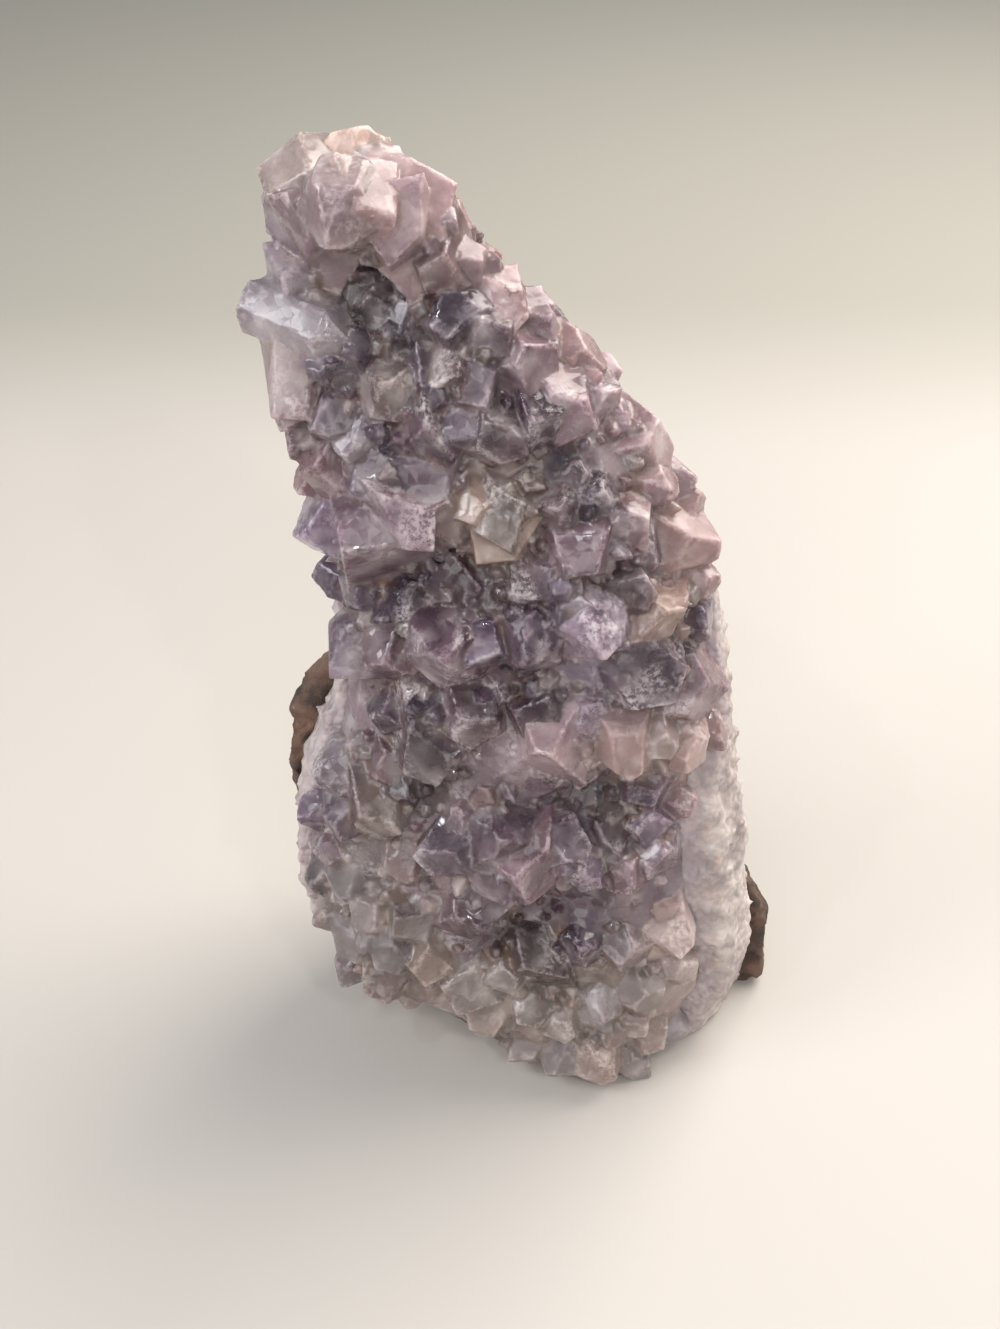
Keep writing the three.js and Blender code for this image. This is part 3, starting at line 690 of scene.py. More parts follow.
@dataclass(frozen=True)
class Photograph:
    """The camera that the photograph was taken with, and its frame in pixels."""

    eye: tuple[float, float, float] = (-5 * MM, -154.4 * MM, 178.1 * MM)
    pitch: float = math.radians(38)
    focal: float = 1604.0
    middle: tuple[float, float] = (500.0, 664.5)
    long_side: float = 1329.0
    sensor: float = 36.0
    seen: tuple[float, float] = (0.01, 20.0)

    def pixels(self, points: np.ndarray) -> np.ndarray:
        """Where places are in the photograph.

        Args:
            points: places, one a row.

        Returns:
            x and y in pixels, one place a row.
        """
        away = points - np.array(self.eye)
        sine, cosine = math.sin(self.pitch), math.cos(self.pitch)
        depth = away[:, 1] * cosine - away[:, 2] * sine
        up = away[:, 1] * sine + away[:, 2] * cosine
        x = self.middle[0] + self.focal * away[:, 0] / depth
        y = self.middle[1] - self.focal * up / depth
        return np.stack([x, y], axis=1)

    def make_camera(self) -> None:
        """Puts the camera in the scene."""
        lens = bpy.data.cameras.new("camera")
        lens.sensor_width = self.sensor
        lens.lens = self.sensor * self.focal / self.long_side
        lens.clip_start, lens.clip_end = self.seen
        camera = bpy.data.objects.new("camera", lens)
        camera.location = self.eye
        camera.rotation_euler = (math.pi / 2 - self.pitch, 0, 0)
        bpy.context.scene.collection.objects.link(camera)
        bpy.context.scene.camera = camera


# Second growth


class Draw(Enum):
    """The separate streams of random numbers for small crystals."""

    LEAN = 11
    SPIN = 12
    WIDTH = 13
    SHAPE = 14
    HABIT = 15


@dataclass(frozen=True)
class Habit:
    """A form of small crystal: sides, top as a share of its foot, and height for a foot of radius 1."""

    sides: int
    top: float
    tall: float


@dataclass(frozen=True)
class SecondGrowth:
    """Small crystals that stand on a mesh: how far apart, how wide, of which habits and by which draw.

    They sink by a share of their radius, lean by up to stray, and are drawn narrow more often than wide.
    """

    spacing: float
    smallest: float
    largest: float
    seed: int
    habits: tuple[Habit, ...] = (
        Habit(6, 0.0, 1.35),
        Habit(6, 0.35, 1.2),
        Habit(5, 0.5, 1.1),
        Habit(4, 0.62, 1.05),
        Habit(6, 0.12, 1.6),
    )
    per_square_metre: float = 1.0e6
    sunk: float = 0.45
    stray: float = 0.7
    small_ones: float = 1.8
    least_form: tuple = (0.8, 0.8, 0.8)
    most_form: tuple = (1.2, 1.2, 1.3)

    def grow(
        self, ground: bpy.types.Mesh, crowd: np.ndarray, lean: np.ndarray, material: bpy.types.Material
    ) -> bpy.types.Mesh:
        """Sets crystals on a mesh.

        Args:
            ground: the mesh that they stand on.
            crowd: how thickly they stand at each of its corners, from 0 to 1.
            lean: a direction at each corner that is added to the normal that they point along.
            material: their finish.

        Returns:
            The crystals, each closed, with its own number in the attribute "grain".
        """
        for name, kind, key, values in (
            ("crowd", "FLOAT", "value", crowd), ("lean", "FLOAT_VECTOR", "vector", lean),
        ):
            layer = ground.attributes.new(name, kind, "POINT")
            layer.data.foreach_set(key, values.astype(np.float32).ravel())
        tree, names = self._make_tree()
        values = {
            "Spacing": self.spacing, "Smallest": self.smallest, "Largest": self.largest, "Seed": self.seed,
            "Finish": material,
        }
        settings = {"node_group": tree, **{names[name]: value for name, value in values.items()}}
        return with_modifier(ground, "NODES", settings)

    def _make_tree(self) -> tuple[bpy.types.NodeTree, dict[str, str]]:
        """The tree that sets small crystals on a mesh.

        Returns:
            The tree, and the identifier of each input by its name.
        """
        tree = bpy.data.node_groups.new("second growth", "GeometryNodeTree")
        face = tree.interface
        face.new_socket("Geometry", in_out="INPUT", socket_type="NodeSocketGeometry")
        kinds = {
            "Spacing": "Float", "Smallest": "Float", "Largest": "Float", "Seed": "Int", "Finish": "Material",
        }
        names = {
            name: face.new_socket(name, in_out="INPUT", socket_type=f"NodeSocket{kind}").identifier
            for name, kind in kinds.items()
        }
        face.new_socket("Geometry", in_out="OUTPUT", socket_type="NodeSocketGeometry")
        graph = Graph(tree)
        given = graph.node("NodeGroupInput").outputs

        def random(low: object, high: object, draw: Draw, kind: str = "FLOAT") -> Value:
            """A random value for each crystal, on its own stream."""
            first, last, output = {"FLOAT_VECTOR": (0, 1, 0), "FLOAT": (2, 3, 1), "INT": (4, 5, 2)}[kind]
            seed = Value(graph, given["Seed"]) + float(draw.value)
            sockets = {first: low, last: high, 8: seed}
            return graph.value("FunctionNodeRandomValue", {"data_type": kind}, sockets, output)

        crowd = graph.node("GeometryNodeInputNamedAttribute", {"data_type": "FLOAT"}, {0: "crowd"})
        spots = graph.node(
            "GeometryNodeDistributePointsOnFaces", {"distribute_method": "POISSON"},
            {
                "Mesh": given["Geometry"], "Distance Min": given["Spacing"],
                "Density Max": self.per_square_metre, "Density Factor": crowd.outputs[0],
                "Seed": given["Seed"],
            },
        )
        lean = graph.node("GeometryNodeInputNamedAttribute", {"data_type": "FLOAT_VECTOR"}, {0: "lean"})
        leaning = graph.vectors("ADD", spots.outputs["Normal"], lean.outputs[0])
        stray = random((-self.stray,) * 3, (self.stray,) * 3, Draw.LEAN, "FLOAT_VECTOR")
        aim = graph.vectors("ADD", leaning, stray)
        upright = graph.value("FunctionNodeAlignRotationToVector", {"axis": "Z"}, {"Vector": aim})
        spin = graph.value("ShaderNodeCombineXYZ", {}, {"Z": random(0.0, math.tau, Draw.SPIN)})
        local = {"rotation_space": "LOCAL"}
        turned = graph.value("FunctionNodeRotateRotation", local, {"Rotation": upright, "Rotate By": spin})
        shapes = graph.node("GeometryNodeGeometryToInstance")
        for habit in self.habits:
            crystal = graph.value(
                "GeometryNodeMeshCone", {"fill_type": "NGON"},
                {"Vertices": habit.sides, "Radius Top": habit.top, "Radius Bottom": 1.0, "Depth": habit.tall},
                "Mesh",
            )
            placing = {"Geometry": crystal, "Translation": (0, 0, -self.sunk)}
            sunk = graph.node("GeometryNodeTransform", {}, placing)
            tree.links.new(sunk.outputs[0], shapes.inputs[0])
        share = random(0.0, 1.0, Draw.WIDTH) ** self.small_ones
        size = graph.value("ShaderNodeMapRange", {}, {0: share, 3: given["Smallest"], 4: given["Largest"]})
        uneven = random(self.least_form, self.most_form, Draw.SHAPE, "FLOAT_VECTOR")
        grown = graph.value(
            "GeometryNodeInstanceOnPoints", {},
            {
                "Points": spots.outputs["Points"], "Instance": shapes.outputs[0], "Pick Instance": True,
                "Instance Index": random(0, len(self.habits) - 1, Draw.HABIT, "INT"), "Rotation": turned,
                "Scale": graph.vectors("SCALE", uneven, size),
            },
        )
        number = graph.value("GeometryNodeInputIndex")
        marked = graph.value(
            "GeometryNodeStoreNamedAttribute", {"data_type": "FLOAT", "domain": "INSTANCE"},
            {"Geometry": grown, "Name": "grain", "Value": number},
        )
        real = graph.value("GeometryNodeRealizeInstances", {}, {"Geometry": marked})
        finish = {"Geometry": real, "Material": given["Finish"]}
        graph.node("NodeGroupOutput", {}, {0: graph.value("GeometryNodeSetMaterial", {}, finish)})
        return tree, names


# The druse


@dataclass(frozen=True)
class AmethystFinish:
    """The look of the amethyst: clear windows in milky stone, white where bruised or frosted."""

    bruise: tuple = linear_light((236, 226, 224))
    window: tuple = linear_light((236, 226, 236))
    window_share: float = 0.7
    speckle_share: float = 0.6
    bruise_share: float = 0.12
    rim_share: float = 0.2
    fine_size: float = 0.55
    shard_size: float = 1.25
    shard_depth: float = 0.6
    glow_share: float = 0.6
    glow_reach: tuple = (1.0, 0.84, 0.88)
    glow_depth: float = 2.4 * MM
    index: float = QUARTZ_INDEX
    absorbed: tuple = (0.68, 0.54, 0.66)
    density: float = 45.0

    def make(self) -> bpy.types.Material:
        """The material."""
        paint = Paint("amethyst")
        clear = paint.attribute("clear")
        splintered = paint.attribute("splinter")
        fine = paint.noise(self.fine_size, 3, 0.65)
        speckled = (paint.attribute("frost") * fine.step(0.38, 0.66)).clamped()
        bruised = (paint.attribute("wear") * fine * 1.5).step(0.45, 0.95)
        flat, rim = paint.shards(self.shard_size)
        colour = paint.scaled(paint.attribute("tint", "Color"), fine * 0.5 + 0.75)
        colour = paint.mixed(colour, self.bruise, speckled * self.speckle_share)
        colour = paint.mixed(colour, self.bruise, bruised * self.bruise_share)
        colour = paint.mixed(colour, self.bruise, rim * splintered * self.rim_share)
        rough = paint.attribute("dull") + fine * 0.1 + bruised * 0.1 + speckled * 0.12
        normal = paint.bump(flat * splintered, self.shard_depth)
        milky = paint.principled({
            "Base Color": colour,
            "Roughness": (rough + 0.04).clamped(),
            "Normal": normal,
            "IOR": self.index,
            "Subsurface Weight": self.glow_share,
            "Subsurface Radius": self.glow_reach,
            "Subsurface Scale": self.glow_depth,
        })
        window = paint.principled({
            "Base Color": paint.mixed(colour, self.window, self.window_share),
            "Roughness": rough.clamped(),
            "Normal": normal,
            "IOR": self.index,
            "Transmission Weight": 1.0,
        })
        share = (clear - speckled * 0.6 - bruised * 0.3).clamped()
        surface = paint.value("ShaderNodeMixShader", {}, {0: share, 1: milky, 2: window})
        sockets = {"Color": self.absorbed, "Density": self.density}
        return paint.finish(surface, paint.value("ShaderNodeVolumeAbsorption", {}, sockets))


@dataclass(frozen=True)
class Weathering:
    """How worn and broken the crystals are: sizes and heights in metres, depths in millimetres.

    Milky crystals are worn the most, from the first clearness to the second, and lumpy above the heights.
    """

    even_rounds: int = 3
    sharp: float = 0.05
    rub: float = 0.6
    rub_size: float = 2.4 * MM
    chip_size: float = 1.3 * MM
    chip_depth: float = 0.22
    dent_size: float = 1.9 * MM
    dent_depth: float = 0.02
    broken_size: float = 9 * MM
    split_size: float = 2.2 * MM
    split_depth: float = 0.16
    worn_clearness: tuple[float, float] = (0.48, 0.22)
    worn: float = 0.8
    worn_rounds: int = 6
    lumpy_rounds: int = 14
    lumpy_heights: tuple[float, float] = (60 * MM, 90 * MM)


@dataclass(frozen=True)
class Colouring:
    """How much each thing changes a crystal's colour, clearness or gloss, as a share unless in metres."""

    own_tint: float = 0.65
    own_light: float = 0.55
    own_warmth: float = 0.14
    own_shift: float = 40 * MM
    sand: float = 0.5
    core: float = 0.5
    core_tone: float = 0.2
    veil: float = 0.24
    wisp: float = 0.22
    seam: float = 0.2
    rust: float = 0.5
    rust_colour: tuple = linear_light((150, 104, 66))
    frost: float = 0.8
    clearest: float = 0.6
    crown_heights: tuple[float, float] = (92 * MM, 104 * MM)
    crown_calm: float = 0.4
    small_share: float = 0.4


@dataclass
class AmethystDruse(Layer):
    """The crust of amethyst: the large crystals of its solid, and the small second growth between them."""

    finish: AmethystFinish = field(default_factory=AmethystFinish)
    photo: Photograph = field(default_factory=Photograph)
    weathering: Weathering = field(default_factory=Weathering)
    colouring: Colouring = field(default_factory=Colouring)
    node: str = "amethyst_crystals"
    parting_node: str = "quartz_band"
    slot: str = "amethyst"
    growth: SecondGrowth = SecondGrowth(spacing=1.8 * MM, smallest=0.8 * MM, largest=2.2 * MM, seed=7)
    voxel: float = 0.28 * MM
    ground_voxel: float = 0.7 * MM
    most_faces: int = 194_000
    sheet_reach: float = 0.45 * MM
    crease: float = -0.03
    growth_axis: tuple[float, float] = (-4 * MM, 12 * MM)
    upward: float = 0.25
    back_slope: float = 0.75
    bare_back: float = 100 * MM
    first_small: int = 0

    def shaped(self, material: bpy.types.Material) -> bpy.types.Mesh:
        """The crust, with the small crystals grown on.

        Args:
            material: its finish.

        Returns:
            The mesh.
        """
        host = merged_copy(self.node)
        crystals = self._crystal_numbers(host)
        source, numbers = self._joined(host, crystals, self._second_growth(host, material))
        tree = search_tree(source)
        mesh = remeshed(source, self.voxel)
        skin = Skin(mesh)
        self._snap(skin, tree)
        self._weather(skin)
        thin = with_modifier(mesh, "DECIMATE", {"ratio": min(1.0, self.most_faces / triangle_count(mesh))})
        drop_folds(thin)
        self._measure(Skin(thin), tree, numbers)
        return thin

    def _crystal_numbers(self, mesh: bpy.types.Mesh) -> np.ndarray:
        """Which crystal each face belongs to.

        Faces of one crystal meet in convex edges, and two crystals meet in a crease. The parting face
        towards the quartz is nobody's.

        Args:
            mesh: the solid's mesh.

        Returns:
            A number for each face, 0 for the parting face and the foot.
        """
        tree = search_tree(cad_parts[self.parting_node].data)
        shape = bmesh.new()
        shape.from_mesh(mesh)
        shape.faces.ensure_lookup_table()
        numbers = np.full(len(shape.faces), -1)
        for face in shape.faces:
            middle = face.calc_center_median()
            on_foot = face.normal.z < -0.99 and middle.z < FOOT_REACH
            if on_foot or tree.find_nearest(middle)[3] < self.sheet_reach:
                numbers[face.index] = 0
        number = 0
        for start in shape.faces:
            if numbers[start.index] >= 0:
                continue
            number += 1
            numbers[start.index] = number
            waiting = [start]
            while waiting:
                face = waiting.pop()
                for edge in face.edges:
                    if len(edge.link_faces) != 2 or edge.calc_face_angle_signed() < self.crease:
                        continue
                    for other in edge.link_faces:
                        if numbers[other.index] < 0:
                            numbers[other.index] = number
                            waiting.append(other)
        shape.free()
        log.info("druse: %d separate crystal shapes", number)
        return numbers

    def _second_growth(self, host: bpy.types.Mesh, material: bpy.types.Material) -> bpy.types.Mesh:
        """Small crystals in the creases between the large ones.

        Args:
            host: the solid's mesh.
            material: their finish.

        Returns:
            The small crystals, each closed, with its own number in the attribute "grain".
        """
        ground = remeshed(host, self.ground_voxel)
        skin = Skin(ground)
        crease = -skin.lift(6)
        hollow = -skin.lift(60)
        crowd = np.maximum(rise(crease, 0.08, 0.2), 0.85 * rise(hollow, 0.1, 0.6))
        outward = skin.points - np.array([*self.growth_axis, 0.0])
        outward[:, 2] = self.upward * np.abs(outward[:, 1])
        outward /= np.linalg.norm(outward, axis=1)[:, None]
        crowd[(skin.normals[:, 1] > self.back_slope) & (skin.points[:, 2] < self.bare_back)] = 0
        crowd[skin.points[:, 2] < BARE_FOOT] = 0
        return self.growth.grow(ground, crowd, outward, material)

    def _joined(
        self, host: bpy.types.Mesh, crystals: np.ndarray, small: bpy.types.Mesh
    ) -> tuple[bpy.types.Mesh, np.ndarray]:
        """The large and the small crystals as one mesh.

        Args:
            host: the solid's mesh.
            crystals: the crystal number of each of its faces.
            small: the small crystals, with their numbers.

        Returns:
            The mesh, and a crystal number for each face.
        """
        grain = np.empty(len(small.vertices), np.float32)
        small.attributes["grain"].data.foreach_get("value", grain)
        self.first_small = crystals.max() + 1
        theirs = [self.first_small + int(grain[p.vertices[0]]) for p in small.polygons]
        log.info("druse: %d small crystals", len(set(theirs)))
        return joined(host, small), np.concatenate([crystals, np.array(theirs)])

    def _snap(self, skin: Skin, tree: BVHTree) -> None:
        """Puts the corners back onto the crystals' faces, from which the even skin rounds them off."""
        reach = 0.8 * self.voxel
        for i, point in enumerate(skin.points):
            place, _, _, away = tree.find_nearest(Vector(point), reach)
            if place is not None:
                skin.points[i] = place
        skin.write()

    def _weather(self, skin: Skin) -> None:
        """Wears and chips the edges, dents and splits the faces, and keeps the foot flat."""
        how = self.weathering
        even = skin.smoothed(skin.points, how.even_rounds)
        edge = np.clip(skin.above(even) / how.sharp, 0, 1)
        rubbed = np.clip(0.45 + cloud(skin.points, how.rub_size, 5), 0, 1)
        skin.points += (how.rub * edge * rubbed)[:, None] * (even - skin.points)
        chips = how.chip_depth * np.clip(cloud(skin.points, how.chip_size, 6), 0, 1) * edge
        dents = how.dent_depth * cloud(skin.points, how.dent_size, 8)
        broken = rise(clouds(skin.points, how.broken_size, 21, 2), 0.05, 0.3)
        split = how.split_depth * broken * grains(skin.points, how.split_size, 22)[1]
        skin.points += ((dents + split - chips) * MM)[:, None] * skin.normals
        worn = how.worn * rise(self._tints(skin.points)[:, 3], *how.worn_clearness)
        rounder = skin.smoothed(skin.points, how.worn_rounds)
        lumpy = skin.smoothed(rounder, how.lumpy_rounds)
        rounder += rise(skin.points[:, 2], *how.lumpy_heights)[:, None] * (lumpy - rounder)
        skin.points += worn[:, None] * (rounder - skin.points)
        skin.stand()
        skin.write()

    def _measure(self, skin: Skin, tree: BVHTree, numbers: np.ndarray) -> None:
        """Stores what the finish reads: tint, clear, wear, frost, splinter and dull.

        Args:
            skin: the finished surface.
            tree: finds the nearest face of the crystals.
            numbers: the crystal number of each of those faces.
        """
        how = self.colouring
        owner = np.array([numbers[tree.find_nearest(Vector(p))[2]] for p in skin.points])
        small = owner >= self.first_small
        tint = self._own_tints(skin.points, owner)
        draw = [hashed(np.stack([owner, owner * 0, owner * 0], axis=1), 31 + k) for k in range(8)]
        spot = skin.points + np.stack(draw[2:5], axis=1) * how.own_shift
        bulge = skin.lift(5)
        cleft = np.clip(-skin.lift(40) / 0.7, 0, 1)
        seam = np.clip(-bulge / 0.1, 0, 1)

        light = 0.95 + how.own_light * (draw[0] - 0.5)
        warm = how.own_warmth * (draw[1] - 0.45)
        colour = tint[:, :3] * light[:, None] * (1 + warm[:, None] * np.array([1, 0, -1]))
        sandy = small & (draw[5] > 0.5)
        colour = blend(colour, Tint.SAND.linear[:3], how.sand * sandy)
        veil = rise(clouds(spot, 3.4 * MM, 11, 4), -0.05, 0.5)
        wisp = rise(np.abs(clouds(spot * (1, 1, 0.6), 2.2 * MM, 12, 3)), 0.07, 0.0)
        core = rise(clouds(spot, 4.5 * MM, 13, 2), 0.1, -0.35)
        deeper = colour * Tint.PURPLE.linear[:3] / how.core_tone
        colour = blend(colour, deeper, how.core * core * tint[:, 3])
        colour = blend(colour, self.finish.bruise, how.veil * veil + how.wisp * wisp)
        colour = blend(colour, Tint.SAND.linear[:3], how.seam * seam)
        rusty = cleft * rise(clouds(skin.points, 3 * MM, 14, 3), 0.05, 0.45)
        colour = blend(colour, how.rust_colour, how.rust * rusty)
        skin.store("tint", np.clip(colour, 0, 1))

        windows = rise(clouds(spot, 2.8 * MM, 16, 3), -0.35, 0.3)
        clear = tint[:, 3] * (0.3 + 0.6 * windows) * (1 - 0.6 * veil) * (1 - 0.5 * wisp)
        clear = np.clip(clear, 0, how.clearest) * (1 - 0.6 * cleft)
        skin.store("clear", np.where(owner == 0, 0, clear))

        wear = np.clip(skin.smoothed(bulge, 1) / 0.07, 0, 1)
        skin.store("wear", wear * np.where(small, how.small_share, 1))

        patch = rise(clouds(spot, 3.0 * MM, 15, 3), 0.0, 0.35)
        frosted = patch * rise(draw[6], 0.65, 0.95)
        skin.store("frost", frosted * np.where(small, how.small_share, how.frost))

        splinter = rise(clouds(spot, 4 * MM, 18, 3) + 0.5 * (draw[5] - 0.5), -0.1, 0.35)
        splinter = (0.25 + 0.75 * splinter) * (1 - 0.45 * rise(tint[:, 3], 0.6, 0.3))
        skin.store("splinter", splinter * (1 - how.crown_calm * rise(skin.points[:, 2], *how.crown_heights)))

        matt = draw[7] * rise(clouds(spot, 3.6 * MM, 17, 3), -0.3, 0.3)
        opaque = rise(tint[:, 3], 0.45, 0.15)
        skin.store("dull", 0.05 + 0.1 * rise(draw[7], 0.2, 0.5) + 0.16 * matt + 0.14 * opaque)

    def _own_tints(self, points: np.ndarray, owner: np.ndarray) -> np.ndarray:
        """The tint at places, mostly that of the middle of the crystal they are on.

        Args:
            points: places, one a row.
            owner: the number of each place's crystal, 0 for none.

        Returns:
            Red, green, blue and clearness, one place a row.
        """
        weight = np.bincount(owner) + 1e-9
        middles = np.stack([np.bincount(owner, column) / weight for column in points.T], axis=1)
        places = np.where((owner == 0)[:, None], points, middles[owner])
        own = self.colouring.own_tint
        return own * self._tints(places) + (1 - own) * self._tints(points)

    def _tints(self, points: np.ndarray) -> np.ndarray:
        """The tint and clearness at places, by the zones they fall in as the photograph shows them.

        Args:
            points: places, one a row.

        Returns:
            Red, green, blue and clearness, one place a row.
        """
        x, y = self.photo.pixels(points).T
        total = np.tile(GROUND_TINT.linear * GROUND_WEIGHT, (len(points), 1))
        weights = np.full(len(points), GROUND_WEIGHT)
        for zone in ZONES.values():
            weight = np.exp(-(((x - zone.x) / zone.wide) ** 2 + ((y - zone.y) / zone.tall) ** 2))
            total += weight[:, None] * zone.tint.linear
            weights += weight
        return total / weights[:, None]


# The quartz band


@dataclass(frozen=True)
class QuartzFinish:
    """The look of the band: pale, sugary and a little translucent, with grey and rusty streaks."""

    pale: tuple = linear_light((214, 201, 195))
    grey: tuple = linear_light((172, 158, 156))
    warm: tuple = linear_light((202, 172, 148))
    lilac: tuple = linear_light((186, 168, 178))
    grain_size: float = 1.1
    cloud_size: float = 5.0
    rust_size: float = 3.6
    grain_depth: float = 0.35
    glow_share: float = 0.6
    glow_reach: tuple = (1.0, 0.85, 0.75)
    glow_depth: float = 1.6 * MM
    index: float = QUARTZ_INDEX

    def make(self) -> bpy.types.Material:
        """The material."""
        paint = Paint("pale quartz")
        grain = paint.cells(self.grain_size)
        cloudy = paint.noise(self.cloud_size, 4, 0.6, 0.5).step(0.38, 0.62)
        rusty = paint.noise(self.rust_size, 5, 0.7).step(0.58, 0.72)
        colour = paint.mixed(self.grey, self.pale, cloudy)
        colour = paint.mixed(colour, self.pale, grain.step(0.6, 0.1) * 0.4)
        colour = paint.mixed(colour, self.lilac, paint.attribute("lilac"))
        colour = paint.mixed(colour, self.warm, rusty * 0.6)
        # Painted shade: greyer in the clefts.
        colour = paint.mixed(colour, self.grey, paint.attribute("cleft") * 0.5)
        return paint.finish(paint.principled({
            "Base Color": colour,
            "Roughness": (0.3 + grain * 0.35).clamped(),
            "Normal": paint.bump(1 - grain, self.grain_depth),
            "IOR": self.index,
            "Subsurface Weight": self.glow_share,
            "Subsurface Radius": self.glow_reach,
            "Subsurface Scale": self.glow_depth,
        }))


@dataclass
class QuartzBand(Layer):
    """The band of granular quartz that the amethyst grew on."""

    finish: QuartzFinish = field(default_factory=QuartzFinish)
    node: str = "quartz_band"
    above: str = "amethyst_crystals"
    below: str = "basalt_rind"
    slot: str = "pale_quartz"
    growth: SecondGrowth = SecondGrowth(spacing=1.6 * MM, smallest=0.7 * MM, largest=1.4 * MM, seed=4)
    crowd: float = 0.9
    voxel: float = 0.46 * MM
    ground_voxel: float = 0.9 * MM
    sheet_reach: float = 0.9 * MM
    grain_size: float = 2.2 * MM
    wave_size: float = 6 * MM
    split_size: float = 2.0 * MM
    lilac_reach: float = 3.5 * MM

    def shaped(self, material: bpy.types.Material) -> bpy.types.Mesh:
        """The band, uneven and sugared with grains.

        Args:
            material: its finish.

        Returns:
            The mesh.
        """
        host = merged_copy(self.node)
        mesh = remeshed(joined(host, self._grains(host, material)), self.voxel)
        skin = Skin(mesh)
        sugar = 0.55 - grains(skin.points, self.grain_size, 3)[0]
        waves = cloud(skin.points, self.wave_size, 2)
        split = grains(skin.points, self.split_size, 5)[1]
        height = 0.3 * sugar + 0.3 * waves + 0.2 * split
        skin.points = skin.smoothed(skin.points, 6)
        skin.points += (height * MM)[:, None] * skin.normals
        skin.stand()
        skin.write()
        # How deep each place lies in a cleft, which the finish paints as shade.
        skin.store("cleft", np.clip(-skin.lift(12) / 0.25, 0, 1))
        veins = 0.5 + 0.5 * clouds(skin.points, 3 * MM, 7, 3)
        skin.store("lilac", nearness(skin.points, self.above, self.lilac_reach) * veins)
        return mesh

    def _grains(self, host: bpy.types.Mesh, material: bpy.types.Material) -> bpy.types.Mesh:
        """Sugary grains on the open sides, none where another layer lies against the band.

        Args:
            host: the solid's mesh.
            material: their finish.

        Returns:
            The grains, each closed.
        """
        ground = remeshed(host, self.ground_voxel)
        points = Skin(ground).points
        crowd = np.full(len(points), self.crowd)
        for other in (self.above, self.below):
            crowd[nearness(points, other, self.sheet_reach) > 0] = 0
        crowd[points[:, 2] < BARE_FOOT] = 0
        return self.growth.grow(ground, crowd, np.zeros_like(points), material)


# The basalt


@dataclass(frozen=True)
class BasaltFinish:
    """The look of the rind: brown weathered basalt with pits and clefts darkened as painted shade, ochre
    crust and pale specks.
    """

    brown: tuple = linear_light((128, 100, 86))
    dark: tuple = linear_light((78, 64, 58))
    ochre: tuple = linear_light((158, 120, 96))
    speck: tuple = linear_light((196, 188, 170))
    patch_size: float = 7.0
    crust_size: float = 3.2
    speck_size: float = 1.9
    fine_size: float = 0.55
    fine_depth: float = 0.3

    def make(self) -> bpy.types.Material:
        """The material."""
        paint = Paint("basalt")
        patches = paint.noise(self.patch_size, 5, 0.6, 0.3).step(0.4, 0.62)
        crust = paint.noise(self.crust_size, 5, 0.7).step(0.52, 0.7)
        specks = paint.cells(self.speck_size).step(0.22, 0.12) * paint.noise(4, 2).step(0.5, 0.6)
        fine = paint.noise(self.fine_size, 4, 0.65)
        colour = paint.mixed(self.brown, self.dark, patches)
        colour = paint.mixed(colour, self.ochre, crust * 0.7)
        # Painted shade: darker in the pits and clefts.
        colour = paint.mixed(colour, self.dark, paint.attribute("cleft") * 0.8)
        colour = paint.mixed(colour, self.speck, specks * 0.7)
        colour = paint.mixed(colour, self.dark, (0.6 - fine).clamped() * 0.8)
        return paint.finish(paint.principled({
            "Base Color": colour,
            "Roughness": (0.75 + fine * 0.2).clamped(),
            "Normal": paint.bump(fine, self.fine_depth),
        }))


@dataclass
class BasaltRind(Layer):
    """The basalt that the band grew on, broken and pitted."""

    finish: BasaltFinish = field(default_factory=BasaltFinish)
    node: str = "basalt_rind"
    slot: str = "basalt"
    voxel: float = 0.5 * MM
    lump_size: float = 7 * MM
    facet_size: float = 5 * MM
    large_pit: float = 3.4 * MM
    small_pit: float = 1.7 * MM

    def shaped(self, material: bpy.types.Material) -> bpy.types.Mesh:
        """The rind, lumpy, chipped and pitted.

        Args:
            material: its finish; not used.

        Returns:
            The mesh.
        """
        mesh = remeshed(merged_copy(self.node), self.voxel)
        skin = Skin(mesh)
        at = skin.points
        lumps = 0.5 * cloud(at, self.lump_size, 1) + 0.5 * grains(at, self.facet_size, 2)[1] + 0.2
        lumps += 0.2 * cloud(at, 1.2 * MM, 3)
        uneven = 0.22 * clouds(at, 6 * MM, 12, 3)
        pits = 2.6 * np.clip(0.36 + uneven - grains(at, self.large_pit, 9)[0], 0, 0.5)
        pits += 1.4 * np.clip(0.3 + uneven - grains(at, self.small_pit, 10)[0], 0, 0.5)
        pits += 0.5 * np.abs(clouds(at, 2.4 * MM, 13, 3))
        skin.points += ((lumps - pits) * MM)[:, None] * skin.normals
        skin.stand()
        skin.write()
        # How deep each place lies in a cleft, which the finish paints as shade.
        skin.store("cleft", np.clip(-skin.lift(15) / 0.4, 0, 1))
        return mesh


# The studio


@dataclass(frozen=True)
class Lamp:
    """A soft light panel that faces the cluster: place and side in metres, power in watts."""

    name: str
    place: tuple[float, float, float]
    side: float
    power: float
    colour: tuple[float, float, float]


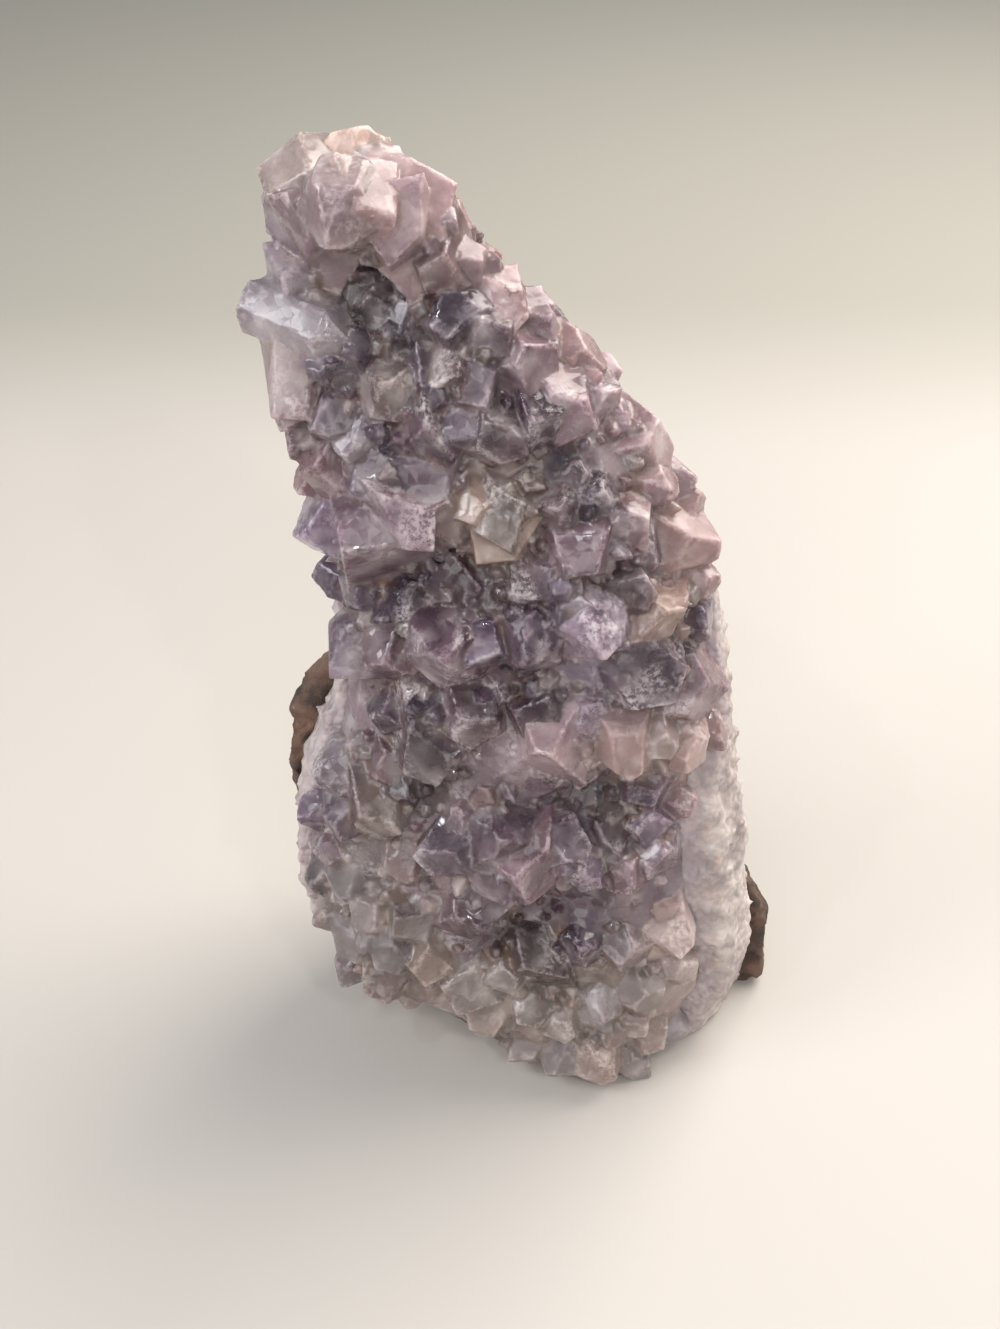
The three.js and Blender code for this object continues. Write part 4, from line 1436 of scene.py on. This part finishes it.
@dataclass
class Studio:
    """The pale floor, the light and the camera."""

    photo: Photograph
    near_floor: tuple = linear_light((200, 193, 186))
    # Painted shade: the floor's colour behind the cluster.
    shaded_far_floor: tuple = linear_light((176, 171, 161))
    floor_half: float = 6.0
    floor_turns: tuple[float, float] = (140.0, 230.0)
    floor_roughness: float = 0.6
    sky: tuple = (0.87, 0.94, 1.0)
    sky_power: float = 0.34
    aim: tuple = (0.0, 0.0, 0.055)
    lamps: tuple[Lamp, ...] = (
        Lamp("window", (0.26, 0.2, 0.42), 0.42, 3.6, (1.0, 0.95, 0.88)),
        Lamp("front fill", (-0.06, -0.5, 0.42), 0.4, 1.15, (1.0, 0.98, 0.96)),
        Lamp("left window", (-0.32, -0.12, 0.32), 0.16, 0.7, (0.95, 0.97, 1.0)),
        Lamp("glint", (0.12, -0.3, 0.36), 0.02, 0.2, (1.0, 1.0, 1.0)),
        Lamp("left glint", (-0.16, -0.16, 0.4), 0.015, 0.12, (0.92, 0.96, 1.0)),
    )

    def build(self) -> None:
        """Makes the floor, lights and camera."""
        scene = bpy.context.scene
        scene.view_settings.view_transform = "Standard"
        self._make_floor()
        world = bpy.data.worlds.new("studio")
        world.use_nodes = True
        background = world.node_tree.nodes["Background"]
        background.inputs["Color"].default_value = (*self.sky, 1.0)
        background.inputs["Strength"].default_value = self.sky_power
        scene.world = world
        for lamp in self.lamps:
            light = bpy.data.lights.new(lamp.name, "AREA")
            light.size, light.energy, light.color = lamp.side, lamp.power, lamp.colour
            panel = bpy.data.objects.new(lamp.name, light)
            panel.location = lamp.place
            toward = Vector(self.aim) - Vector(lamp.place)
            panel.rotation_euler = toward.to_track_quat("-Z", "Y").to_euler()
            scene.collection.objects.link(panel)
        self.photo.make_camera()

    def _make_floor(self) -> None:
        """A flat pale floor, darker behind the cluster from one distance in millimetres to another: painted
        shade, as of a floor falling away from the light.
        """
        paint = Paint("floor")
        along = paint.value("ShaderNodeSeparateXYZ", {}, {0: paint.place}, "Y")
        # Painted shade: the floor turns darker behind the cluster.
        colour = paint.mixed(self.near_floor, self.shaded_far_floor, along.step(*self.floor_turns))
        surface = paint.principled({"Base Color": colour, "Roughness": self.floor_roughness})
        mesh = bpy.data.meshes.new("floor")
        half = self.floor_half
        corners = [(-half, -half, 0), (half, -half, 0), (half, half, 0), (-half, half, 0)]
        mesh.from_pydata(corners, [], [(0, 1, 2, 3)])
        mesh.materials.append(paint.finish(surface))
        floor = bpy.data.objects.new("floor", mesh)
        bpy.context.scene.collection.objects.link(floor)


def main() -> None:
    """Builds the three layers and the studio."""
    logging.basicConfig(level=logging.INFO, format="%(name)s: %(message)s")
    photo = Photograph()
    for layer in (AmethystDruse(photo=photo), QuartzBand(), BasaltRind()):
        piece = layer.build()
        log.info("%s: %d triangles", piece.name, triangle_count(piece.data))
    Studio(photo).build()


if __name__ == "__main__":
    main()
